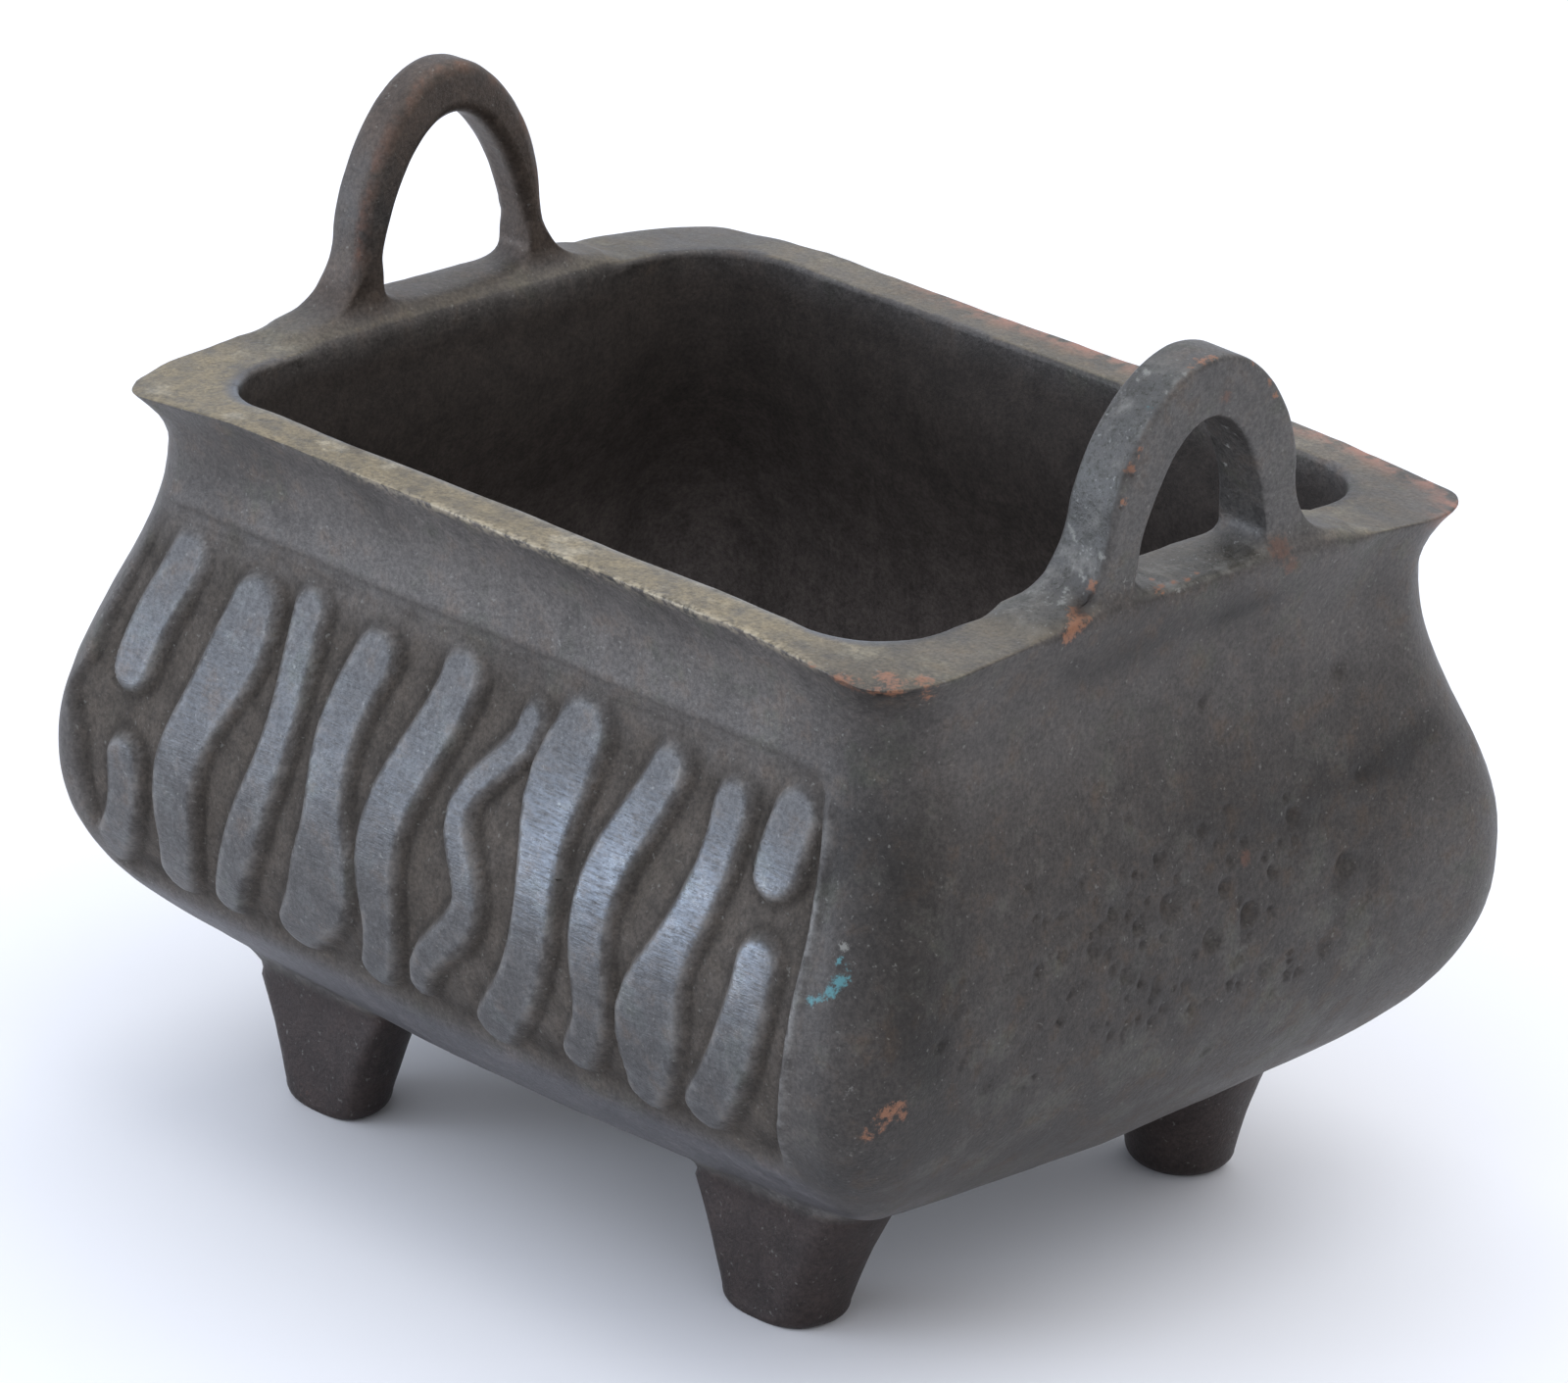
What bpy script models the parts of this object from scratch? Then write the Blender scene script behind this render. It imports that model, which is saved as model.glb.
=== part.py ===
# A cast bronze incense burner: a swelling rectangular vessel with two loop handles on four feet.
# Metres, +Z up. The origin is on the ground, midway between the feet, and -Y is the front.
import math

import bmesh
import bpy
from mathutils import Vector

MM = 0.001

# The rim, over its edges. Its corners hang a little lower than its middles.
RIM_LENGTH = 92.2 * MM
RIM_WIDTH = 70.0 * MM
RIM_CORNER_ALONG = 4.5 * MM
RIM_CORNER_ACROSS = 8.5 * MM
CORNER_DROOP = 1.3 * MM
DROOP_REACH = 16.0 * MM

# Heights, from the ground up
FOOT_HEIGHT = 11.9 * MM
BODY_HEIGHT = 51.0 * MM
BELLY_ABOVE_BASE = 19.6 * MM
NECK_BELOW_RIM = 6.0 * MM

# The outside, from the rim down: in at the neck, out at the belly, in again at the base
NECK_INSET_END = 1.2 * MM
NECK_INSET_SIDE = 2.4 * MM
NECK_CORNER = 7.6 * MM
BELLY_SWELL_END = 4.1 * MM
BELLY_SWELL_SIDE = 6.8 * MM
BELLY_CORNER_ALONG = 4.5 * MM
BELLY_CORNER_ACROSS = 7.0 * MM
BASE_TUCK_END = 11.7 * MM
BASE_TUCK_SIDE = 13.5 * MM
BASE_CORNER = 2.5 * MM
BASE_BOW_END = 1.1 * MM
BASE_BOW_SIDE = 2.3 * MM
TUCK_POWER = 2.4

# The inside
WALL = 3.0 * MM
FLOOR = 3.0 * MM
NECK_WALL_END = 6.0 * MM
NECK_WALL_SIDE = 2.5 * MM
OPENING_CORNER = 7.5 * MM
FLOOR_EDGE_INSET = 1.2 * MM

# The feet are turned cones, broader across their corner than along it, with a rounded lower edge.
# Where they would stand out past the base's outline, they are flattened a little within it.
FOOT_TOP_RADIUS = 7.9 * MM
FOOT_SHANK_RADIUS = 4.75 * MM
FOOT_BREADTH = 1.17
FOOT_TAPER_SHARE = 0.94
FOOT_EDGE_RADIUS = 1.5 * MM
FOOT_FROM_END = 10.5 * MM
FOOT_FROM_SIDE = 2.2 * MM
FOOT_INSET = 0.25 * MM
FOOT_SINK = 1.5 * MM

# Both handles stand on the end rims and flare where they meet them
HANDLE_SETBACK = 1.0 * MM
HANDLE_SINK = 1.5 * MM
HANDLE_LEAN = math.radians(1.2)
ROOT_REACH = 6.6 * MM
ROOT_HEIGHT = 7.8 * MM
HOLE_CORNER = 2.2 * MM
BEVEL_ANGLE = math.radians(50)

# The +X handle is broad and square edged, and stands a little towards the back
RIGHT_HANDLE_HEIGHT = 19.1 * MM
RIGHT_HANDLE_WIDTH = 21.6 * MM
RIGHT_HANDLE_OFFSET = 0.8 * MM
RIGHT_HANDLE_POWER = 1.5
RIGHT_HANDLE_FOOT_THICKNESS = 5.4 * MM
RIGHT_HANDLE_TOP_THICKNESS = 4.7 * MM
RIGHT_HANDLE_EDGE = 0.5 * MM
RIGHT_HOLE_WIDTH = 15.2 * MM
RIGHT_HOLE_OFFSET = 0.8 * MM
RIGHT_HOLE_BOTTOM = 0.3 * MM
RIGHT_HOLE_TOP = 13.95 * MM
RIGHT_HOLE_POWER = 1.4

# The -X handle is slimmer, taller and worn round
LEFT_HANDLE_HEIGHT = 20.9 * MM
LEFT_HANDLE_WIDTH = 21.2 * MM
LEFT_HANDLE_OFFSET = 0.3 * MM
LEFT_HANDLE_POWER = 1.5
LEFT_HANDLE_FOOT_THICKNESS = 4.5 * MM
LEFT_HANDLE_TOP_THICKNESS = 3.9 * MM
LEFT_HANDLE_EDGE = 0.9 * MM
LEFT_HOLE_WIDTH = 17.0 * MM
LEFT_HOLE_OFFSET = 0.7 * MM
LEFT_HOLE_BOTTOM = 1.0 * MM
LEFT_HOLE_TOP = 16.4 * MM
LEFT_HOLE_POWER = 1.5

# The sunk panels on the two long sides. Their ends bow out, and the -X one comes to a small cusp.
PANEL_DEPTH = 1.0 * MM
PANEL_BELOW_NECK = 4.4 * MM
PANEL_ABOVE_BASE = 7.0 * MM
PANEL_FROM_LEFT_END = 5.0 * MM
PANEL_FROM_RIGHT_END = 8.2 * MM
PANEL_BOW = 3.4 * MM
PANEL_CUSP = 1.5 * MM
PANEL_CUSP_SHARE = 0.2
PANEL_END_STEPS = 10
PANEL_MARGIN = 0.3 * MM
PANEL_TOE_GAP = 1.3 * MM
PANEL_TIP_GAP = 2.6 * MM
PANEL_GAP_VARY = 0.9 * MM
PANEL_GAP_TURN = 2.9

# The strokes that stand in a panel: they lean, sway and sweep out at the toe. None touches another.
STROKE_WIDTH = 4.0 * MM
WIDTH_VARY = 0.14
WIDTH_TURN = 2.3
STROKE_LEAN = 3.6 * MM
STROKE_SWAY = 1.1 * MM
STROKE_WAVES = 1.1
STROKE_TURN = 1.9
WAVE_SWAY = 1.7
WAVE_COUNT = 1.9
WAVE_WIDTH = 0.74
TOE_SWEEP = 3.4 * MM
TOE_SHARE = 0.3
TOE_TAPER = 0.3
CAP_SHARE = 0.045
CAP_TAPER = 0.5
# How much wider a leaf or a bud grows, where along the stroke, and over how much of it
SWELLS = {"leaf": (0.72, 0.27, 0.17), "bud": (0.42, 0.82, 0.15)}
SPANS = {"pair": ((0.0, 0.43), (0.57, 1.0)), "split": ((0.0, 0.62), (0.75, 1.0))}
WHOLE_SPAN = ((0.0, 1.0),)
BACK_STROKE_WIDTH = 3.6 * MM
FRONT_STROKES = ("pair", "bud", "tall", "leaf", "tall", "wave", "bud", "tall", "leaf", "split")
BACK_STROKES = ("tall", "pair", "bud", "leaf", "tall", "pair", "tall", "leaf", "split")

# How finely the round shapes are divided
CORNER_STEPS = 6
LONG_STEPS = 6
SHORT_STEPS = 4
TUCK_STEPS = 6
SWELL_STEPS = 7
NECK_STEPS = 3
ARCH_STEPS = 12
FILLET_STEPS = 4
FOOT_STEPS = 20
STROKE_STEPS = 9

# Points nearer together than this are one point
WELD = 0.001 * MM
SCREW_WELD = 0.01 * MM

BRONZE_COLOUR = (0.075, 0.066, 0.058, 1.0)
BRONZE_ROUGHNESS = 0.45
BRONZE_METALLIC = 0.85

# Worked out from the values above
BASE_Z = FOOT_HEIGHT
BELLY_Z = BASE_Z + BELLY_ABOVE_BASE
RIM_Z = BASE_Z + BODY_HEIGHT
NECK_Z = RIM_Z - NECK_BELOW_RIM
FLOOR_Z = BASE_Z + FLOOR

# A section is half its length and half its width at its corners, its corner's reach along and across,
# and how far its ends and its sides bow out between the corners
STRAIGHT = (0.0, 0.0)
RIM = (RIM_LENGTH / 2, RIM_WIDTH / 2, RIM_CORNER_ALONG, RIM_CORNER_ACROSS, *STRAIGHT)
NECK = (RIM[0] - NECK_INSET_END, RIM[1] - NECK_INSET_SIDE, NECK_CORNER, NECK_CORNER, *STRAIGHT)
BELLY_HALF = (NECK[0] + BELLY_SWELL_END, NECK[1] + BELLY_SWELL_SIDE)
BELLY = (*BELLY_HALF, BELLY_CORNER_ALONG, BELLY_CORNER_ACROSS, *STRAIGHT)
BASE_HALF = (BELLY[0] - BASE_TUCK_END, BELLY[1] - BASE_TUCK_SIDE)
BASE = (*BASE_HALF, BASE_CORNER, BASE_CORNER, BASE_BOW_END, BASE_BOW_SIDE)
OPENING = (NECK[0] - NECK_WALL_END, NECK[1] - NECK_WALL_SIDE, OPENING_CORNER, OPENING_CORNER, *STRAIGHT)
CAVITY_BELLY = (BELLY[0] - WALL, BELLY[1] - WALL, OPENING_CORNER, OPENING_CORNER, *STRAIGHT)
CAVITY_HALF = (BASE[0] - FLOOR_EDGE_INSET, BASE[1] - FLOOR_EDGE_INSET)
CAVITY_FLOOR = (*CAVITY_HALF, OPENING_CORNER, OPENING_CORNER, *STRAIGHT)


def clear_scene():
    for thing in list(bpy.data.objects):
        bpy.data.objects.remove(thing, do_unlink=True)


def new_collection(name):
    collection = bpy.data.collections.new(name)
    bpy.context.scene.collection.children.link(collection)
    return collection


def add_object(name, shape, collection):
    thing = bpy.data.objects.new(name, shape)
    collection.objects.link(thing)
    return thing


def add_helper(name, shape, collection):
    """A shape that is only cut away or joined on."""
    thing = add_object(name, shape, collection)
    thing.hide_render = True
    thing.display_type = "WIRE"
    return thing


def add_boolean(thing, other, operation):
    modifier = thing.modifiers.new(other.name, "BOOLEAN")
    modifier.operation = operation
    modifier.solver = "EXACT"
    modifier.object = other


def bronze_material():
    material = bpy.data.materials.new("dark_bronze")
    material.use_nodes = True
    shader = material.node_tree.nodes["Principled BSDF"]
    shader.inputs["Base Color"].default_value = BRONZE_COLOUR
    shader.inputs["Roughness"].default_value = BRONZE_ROUGHNESS
    shader.inputs["Metallic"].default_value = BRONZE_METALLIC
    return material


def between(first, second, share):
    return tuple(a + (b - a) * share for a, b in zip(first, second))


def swelling(z, bottom_z, bottom, belly, neck):
    """The section at height z of a wall that runs out to the belly and in to the neck."""
    if z <= BELLY_Z:
        share = ((BELLY_Z - z) / (BELLY_Z - bottom_z)) ** TUCK_POWER
        return between(belly, bottom, share)
    rise = min(1.0, (z - BELLY_Z) / (NECK_Z - BELLY_Z))
    return between(belly, neck, 0.5 - 0.5 * math.cos(math.pi * rise))


def outside(z):
    if z <= NECK_Z:
        return swelling(z, BASE_Z, BASE, BELLY, NECK)
    return between(NECK, RIM, ((z - NECK_Z) / NECK_BELOW_RIM) ** 2)


def inside(z):
    return swelling(z, FLOOR_Z, CAVITY_FLOOR, CAVITY_BELLY, OPENING)


def shrunk(section, depth):
    return (section[0] - depth, section[1] - depth, *section[2:])


def steps(low, high, count):
    return [low + (high - low) * i / count for i in range(count + 1)]


def droop(x, y, z):
    """How far the rim's corners hang below its middles, fading out down to the neck."""
    near_end = 1 - (RIM_LENGTH / 2 - abs(x)) / DROOP_REACH
    near_side = 1 - (RIM_WIDTH / 2 - abs(y)) / DROOP_REACH
    height = (z - NECK_Z) / NECK_BELOW_RIM
    return CORNER_DROOP * min(1.0, max(0.0, near_end)) * min(1.0, max(0.0, near_side)) * max(0.0, height)


def ring(section, z):
    """The points of one section, anticlockwise from the +X side, its corners quarter ellipses."""
    half_x, half_y, along, across, bow_x, bow_y = section
    points = []
    for quarter, (side_x, side_y) in enumerate(((1, 1), (-1, 1), (-1, -1), (1, -1))):
        centre = Vector((side_x * (half_x - along), side_y * (half_y - across)))
        for turn in steps(quarter * math.pi / 2, (quarter + 1) * math.pi / 2, CORNER_STEPS):
            points.append(centre + Vector((along * math.cos(turn), across * math.sin(turn))))
        on_side = quarter % 2 == 0
        last = points[-1]
        reach = last.reflect(Vector((1, 0)) if on_side else Vector((0, 1)))
        bow = Vector((0, side_y * bow_y)) if on_side else Vector((side_x * bow_x, 0))
        for share in steps(0, 1, LONG_STEPS if on_side else SHORT_STEPS)[1:-1]:
            points.append(last.lerp(reach, share) + bow * (1 - (2 * share - 1) ** 2))
    return [Vector((p.x, p.y, z - droop(p.x, p.y, z))) for p in points]


def loft(name, rings):
    """A closed body through rings of equal count, with a flat cap at each end."""
    shape = bmesh.new()
    rows = [[shape.verts.new(point) for point in points] for points in rings]
    for low, high in zip(rows, rows[1:]):
        for i in range(len(low)):
            j = (i + 1) % len(low)
            shape.faces.new((low[i], low[j], high[j], high[i]))
    shape.faces.new(list(reversed(rows[0])))
    shape.faces.new(rows[-1])
    bmesh.ops.recalc_face_normals(shape, faces=shape.faces)
    mesh = bpy.data.meshes.new(name)
    shape.to_mesh(mesh)
    shape.free()
    return mesh


def outside_heights():
    tuck = steps(BASE_Z, BELLY_Z, TUCK_STEPS)
    swell = steps(BELLY_Z, NECK_Z, SWELL_STEPS)
    flare = steps(NECK_Z, RIM_Z, NECK_STEPS)
    return tuck + swell[1:] + flare[1:]


def vessel_mesh():
    """Up the outside, over the rim and down into the cavity, as one skin."""
    cavity = steps(FLOOR_Z, BELLY_Z, TUCK_STEPS) + steps(BELLY_Z, NECK_Z, SWELL_STEPS)[1:] + [RIM_Z]
    rings = [ring(outside(z), z) for z in outside_heights()]
    rings += [ring(inside(z), z) for z in reversed(cavity)]
    return loft("vessel", rings)


def core_mesh():
    """The vessel's outside made smaller by the panels' depth, which gives the panels their floor."""
    return loft("core", [ring(shrunk(outside(z), PANEL_DEPTH), z) for z in outside_heights()])


def foot_mesh(helpers):
    """A profile turned with a Screw modifier, from the top down its outer side."""
    profile = [(0, FOOT_HEIGHT + FOOT_SINK), (FOOT_TOP_RADIUS, FOOT_HEIGHT + FOOT_SINK)]
    profile.append((FOOT_TOP_RADIUS, FOOT_HEIGHT * FOOT_TAPER_SHARE))
    for turn in steps(0, math.pi / 2, FILLET_STEPS):
        out = FOOT_SHANK_RADIUS - FOOT_EDGE_RADIUS * (1 - math.cos(turn))
        profile.append((out, FOOT_EDGE_RADIUS * (1 - math.sin(turn))))
    profile.append((0, 0))
    mesh = bpy.data.meshes.new("foot")
    edges = [(i, i + 1) for i in range(len(profile) - 1)]
    mesh.from_pydata([(out, 0, z) for out, z in profile], edges, [])
    foot = add_helper("foot", mesh, helpers)
    turn = foot.modifiers.new("turn", "SCREW")
    turn.steps = FOOT_STEPS
    turn.render_steps = FOOT_STEPS
    turn.use_merge_vertices = True
    turn.merge_threshold = SCREW_WELD
    footprint = shrunk(BASE, FOOT_INSET)
    prism = loft("footprint", [ring(footprint, z) for z in (-FOOT_SINK, BELLY_Z)])
    within = add_helper("footprint", prism, helpers)
    add_boolean(foot, within, "INTERSECT")
    return foot


def flat_curve(name, outlines, thickness, collection):
    """A flat shape with holes, as a filled 2D curve with thickness, made a welded mesh."""
    curve = bpy.data.curves.new(name, "CURVE")
    curve.dimensions = "2D"
    curve.fill_mode = "BOTH"
    curve.extrude = thickness / 2
    for points in outlines:
        line = curve.splines.new("POLY")
        line.points.add(len(points) - 1)
        for spot, (across, up) in zip(line.points, points):
            spot.co = (across, up, 0, 1)
        line.use_cyclic_u = True
    drawn = add_helper(name + "_curve", curve, collection)
    graph = bpy.context.evaluated_depsgraph_get()
    mesh = bpy.data.meshes.new_from_object(drawn.evaluated_get(graph))
    bpy.data.objects.remove(drawn, do_unlink=True)
    shape = bmesh.new()
    shape.from_mesh(mesh)
    bmesh.ops.remove_doubles(shape, verts=shape.verts, dist=WELD)
    bmesh.ops.recalc_face_normals(shape, faces=shape.faces)
    shape.to_mesh(mesh)
    shape.free()
    return add_helper(name, mesh, collection)


def mirrored(half, offset):
    """A closed outline from its right half, listed from the bottom up to just short of the crown."""
    right = [(offset + across, up) for across, up in half]
    left = [(offset - across, up) for across, up in reversed(half)]
    return right + left


def arch(half_width, low, top, power):
    """The right half of an arch from its springing to just short of its crown."""
    points = []
    for turn in steps(0, math.pi / 2, ARCH_STEPS)[:-1]:
        points.append((half_width * math.cos(turn), low + (top - low) * math.sin(turn) ** (2 / power)))
    return points


def handle_outline(width, height, offset, power):
    half = [(width / 2 + ROOT_REACH, -HANDLE_SINK)]
    for turn in steps(0, math.pi / 2, FILLET_STEPS)[:-1]:
        out = width / 2 + ROOT_REACH * (1 - math.sin(turn))
        half.append((out, ROOT_HEIGHT * (1 - math.cos(turn))))
    half += arch(width / 2, ROOT_HEIGHT, height, power)
    return mirrored(half, offset)


def hole_outline(width, bottom, top, offset, power):
    half = []
    for turn in steps(0, math.pi / 2, FILLET_STEPS)[:-1]:
        out = width / 2 - HOLE_CORNER * (1 - math.sin(turn))
        half.append((out, bottom + HOLE_CORNER * (1 - math.cos(turn))))
    half += arch(width / 2, bottom + HOLE_CORNER, top, power)
    return mirrored(half, offset)


def add_handle(name, side, sizes, collection):
    """A loop handle whose outer face is set back from the rim's end, thinner towards its crown."""
    height, outer, hole, foot_thickness, top_thickness, edge = sizes
    handle = flat_curve(name, [outer, hole], foot_thickness, collection)
    for vertex in handle.data.vertices:
        share = max(0.0, vertex.co.y) / height
        thickness = foot_thickness + (top_thickness - foot_thickness) * share
        vertex.co.z = 0 if vertex.co.z > 0 else -thickness
    handle.rotation_euler = (math.pi / 2 + HANDLE_LEAN, 0, math.pi / 2 * side)
    handle.location = (side * (RIM_LENGTH / 2 - HANDLE_SETBACK), 0, RIM_Z)
    rounding = handle.modifiers.new("edges", "BEVEL")
    rounding.width = edge
    rounding.segments = 1
    rounding.limit_method = "ANGLE"
    rounding.angle_limit = BEVEL_ANGLE
    return handle


def right_handle(helpers):
    outer = handle_outline(RIGHT_HANDLE_WIDTH, RIGHT_HANDLE_HEIGHT, RIGHT_HANDLE_OFFSET, RIGHT_HANDLE_POWER)
    hole = hole_outline(
        RIGHT_HOLE_WIDTH, RIGHT_HOLE_BOTTOM, RIGHT_HOLE_TOP, RIGHT_HOLE_OFFSET, RIGHT_HOLE_POWER
    )
    thickness = (RIGHT_HANDLE_FOOT_THICKNESS, RIGHT_HANDLE_TOP_THICKNESS)
    sizes = (RIGHT_HANDLE_HEIGHT, outer, hole, *thickness, RIGHT_HANDLE_EDGE)
    return add_handle("right_handle", 1, sizes, helpers)


def left_handle(helpers):
    """Its outlines are drawn facing -X, so its offsets towards the back are turned over."""
    outer = handle_outline(LEFT_HANDLE_WIDTH, LEFT_HANDLE_HEIGHT, -LEFT_HANDLE_OFFSET, LEFT_HANDLE_POWER)
    hole = hole_outline(LEFT_HOLE_WIDTH, LEFT_HOLE_BOTTOM, LEFT_HOLE_TOP, -LEFT_HOLE_OFFSET, LEFT_HOLE_POWER)
    thickness = (LEFT_HANDLE_FOOT_THICKNESS, LEFT_HANDLE_TOP_THICKNESS)
    sizes = (LEFT_HANDLE_HEIGHT, outer, hole, *thickness, LEFT_HANDLE_EDGE)
    return add_handle("left_handle", -1, sizes, helpers)


def panel_frame():
    """The panel's left, right, bottom and top on the long sides."""
    left = -BELLY[0] + PANEL_FROM_LEFT_END
    right = BELLY[0] - PANEL_FROM_RIGHT_END
    return left, right, BASE_Z + PANEL_ABOVE_BASE, NECK_Z - PANEL_BELOW_NECK


def panel_outline():
    """Up the right end and down the left one, both bowed out, the left one with a cusp at its middle."""
    left, right, low, high = panel_frame()
    right_end = []
    left_end = []
    for share in steps(0, 1, PANEL_END_STEPS):
        from_middle = abs(2 * share - 1)
        bow = PANEL_BOW * from_middle**2
        cusp = PANEL_CUSP * max(0.0, 1 - from_middle / PANEL_CUSP_SHARE)
        up = low + (high - low) * share
        right_end.append((right - bow, up))
        left_end.append((left + bow - cusp, up))
    return right_end + list(reversed(left_end))


def stroke_point(kind, place, share):
    """How far aside a stroke's middle line is from its place in the row, from its toe (0) to its tip (1)."""
    sway, waves = (WAVE_SWAY, WAVE_COUNT) if kind == "wave" else (1.0, STROKE_WAVES)
    lean = STROKE_LEAN * (share - 1 / 2)
    aside = STROKE_SWAY * sway * math.sin(2 * math.pi * waves * share + STROKE_TURN * place)
    toe = TOE_SWEEP * max(0.0, 1 - share / TOE_SHARE) ** 2
    return lean + aside - toe


def stroke_width(kind, place, share):
    """How wide a stroke is there, as a share of its full width."""
    wide = 1 + WIDTH_VARY * math.sin(WIDTH_TURN * place) - TOE_TAPER * max(0.0, 1 - share / TOE_SHARE)
    if kind == "wave":
        wide *= WAVE_WIDTH
    if kind in SWELLS:
        swell, middle, reach = SWELLS[kind]
        wide += swell * math.exp(-(((share - middle) / reach) ** 2))
    return wide


def stroke_shares(first, last):
    """The places of a stroke's outline along it, with one more near each end to round it."""
    count = max(3, round(STROKE_STEPS * (last - first)))
    return [first, *steps(first + CAP_SHARE, last - CAP_SHARE, count), last]


def stroke_outline(points, widths):
    """Both sides of a stroke."""
    right, left = [], []
    for i, spot in enumerate(points):
        before = points[max(0, i - 1)]
        after = points[min(len(points) - 1, i + 1)]
        along = (after - before).normalized()
        half = widths[i] / 2
        right.append(spot + Vector((along.y, -along.x)) * half)
        left.append(spot - Vector((along.y, -along.x)) * half)
    return [(p.x, p.y) for p in right + list(reversed(left))]


def stroke_outlines(kind, place, middle, low, rise, width):
    """The outlines that make up one stroke, in the panel's own plane."""
    outlines = []
    for first, last in SPANS.get(kind, WHOLE_SPAN):
        points, widths = [], []
        for share in stroke_shares(first, last):
            points.append(Vector((middle + stroke_point(kind, place, share), low + rise * share)))
            widths.append(width * stroke_width(kind, place, share))
        widths[0] *= CAP_TAPER
        widths[-1] *= CAP_TAPER
        outlines.append(stroke_outline(points, widths))
    return outlines


def stand_up(thing, side):
    """Turns a flat curve's shape upright and sets it astride a long side's wall: 1 is the back."""
    thing.rotation_euler = (math.pi / 2, 0, 0)
    thing.location = (0, side * RIM_WIDTH / 2, 0)


def add_panel(name, side, kinds, width, core, helpers):
    """The ground that is cut away round the strokes of one long side."""
    reach = 2 * (PANEL_DEPTH + BELLY_SWELL_SIDE + NECK_INSET_SIDE + BASE_TUCK_SIDE)
    ground = flat_curve(name, [panel_outline()], reach, helpers)
    stand_up(ground, side)
    add_boolean(ground, core, "DIFFERENCE")
    left, right, low, high = panel_frame()
    margin = PANEL_MARGIN + PANEL_BOW / 2
    pitch = (right - left - 2 * margin) / len(kinds)
    for place, kind in enumerate(kinds):
        middle = left + margin + pitch * (place + 1 / 2)
        toe = low + PANEL_TOE_GAP + PANEL_GAP_VARY / 2 * (1 + math.sin(PANEL_GAP_TURN * place))
        tip = high - PANEL_TIP_GAP + PANEL_GAP_VARY * math.cos(PANEL_GAP_TURN * place)
        outlines = stroke_outlines(kind, place, middle, toe, tip - toe, width)
        for part, outline in enumerate(outlines):
            stroke = flat_curve(f"{name}_stroke_{place}_{part}", [outline], reach + 2 * WALL, helpers)
            stand_up(stroke, side)
            add_boolean(ground, stroke, "DIFFERENCE")
    return ground


def build():
    clear_scene()
    made = new_collection("incense_burner")
    helpers = new_collection("cutters")
    burner = add_object("incense_burner", vessel_mesh(), made)
    burner.data.materials.append(bronze_material())
    core = add_helper("core", core_mesh(), helpers)
    for name, side, kinds, width in (
        ("front_ground", -1, FRONT_STROKES, STROKE_WIDTH),
        ("back_ground", 1, BACK_STROKES, BACK_STROKE_WIDTH),
    ):
        add_boolean(burner, add_panel(name, side, kinds, width, core, helpers), "DIFFERENCE")
    add_boolean(burner, right_handle(helpers), "UNION")
    add_boolean(burner, left_handle(helpers), "UNION")
    first = foot_mesh(helpers)
    foot_x = BASE[0] - FOOT_FROM_END
    foot_y = BASE[1] - FOOT_FROM_SIDE
    for number, (side_x, side_y) in enumerate(((1, 1), (-1, 1), (-1, -1), (1, -1))):
        foot = first if number == 0 else first.copy()
        if number:
            helpers.objects.link(foot)
        foot.name = f"foot_{number + 1}"
        foot.location = (side_x * foot_x, side_y * foot_y, 0)
        foot.scale = (1, FOOT_BREADTH, 1)
        foot.rotation_euler = (0, 0, math.pi / 4 * side_x * side_y)
        add_boolean(burner, foot, "UNION")


build()
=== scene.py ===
import itertools
import math

import bmesh
import bpy
import numpy as np
from mathutils import Matrix, Vector
from mathutils.bvhtree import BVHTree


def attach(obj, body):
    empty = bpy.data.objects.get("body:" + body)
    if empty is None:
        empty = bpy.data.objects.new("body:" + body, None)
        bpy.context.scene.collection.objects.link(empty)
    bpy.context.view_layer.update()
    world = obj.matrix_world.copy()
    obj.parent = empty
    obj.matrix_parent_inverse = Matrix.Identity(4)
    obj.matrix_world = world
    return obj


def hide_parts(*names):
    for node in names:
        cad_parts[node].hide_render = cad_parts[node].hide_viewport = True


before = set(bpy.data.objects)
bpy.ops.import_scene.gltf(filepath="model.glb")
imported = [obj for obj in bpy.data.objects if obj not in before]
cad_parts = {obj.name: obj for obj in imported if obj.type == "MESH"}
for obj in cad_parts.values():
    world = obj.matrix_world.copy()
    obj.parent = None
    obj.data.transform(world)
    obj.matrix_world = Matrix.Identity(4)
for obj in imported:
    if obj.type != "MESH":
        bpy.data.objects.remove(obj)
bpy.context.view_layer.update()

mm = 0.001  # all shapes are worked out in millimetres and scaled when the mesh is made
fine = 4  # a cell of the skin can be split this many times each way
burnerName = "incense_burner"
print("frame loaded")


def ease(low, high, value):
    share = np.clip((value - low) / (high - low), 0, 1)
    return share * share * (3 - 2 * share)


def bell(value, middle, reach):
    # 1 at the middle, e times less one reach away from it
    return np.exp(-((value - middle) / reach) ** 2)


def softMin(a, b, reach):
    # the lesser of two distances, with the crease between them rounded
    near = np.maximum(reach - np.abs(a - b), 0) / reach
    return np.minimum(a, b) - near * near * reach / 4


def lumps(points, size, seed):
    # smooth noise from -1 to 1 in lumps of the given size
    table = np.random.RandomState(seed).uniform(-1, 1, 4096)
    cell = points / size
    low = np.floor(cell)
    part = cell - low
    part = part * part * (3 - 2 * part)
    low = low.astype(np.int64)
    total = np.zeros(len(points))
    for corner in itertools.product((0, 1), repeat=3):
        key = low + corner
        index = (key[:, 0] * 73 + key[:, 1] * 179 + key[:, 2] * 283) % len(table)
        total += np.prod(np.where(corner, part, 1 - part), axis=1) * table[index]
    return total


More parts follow.
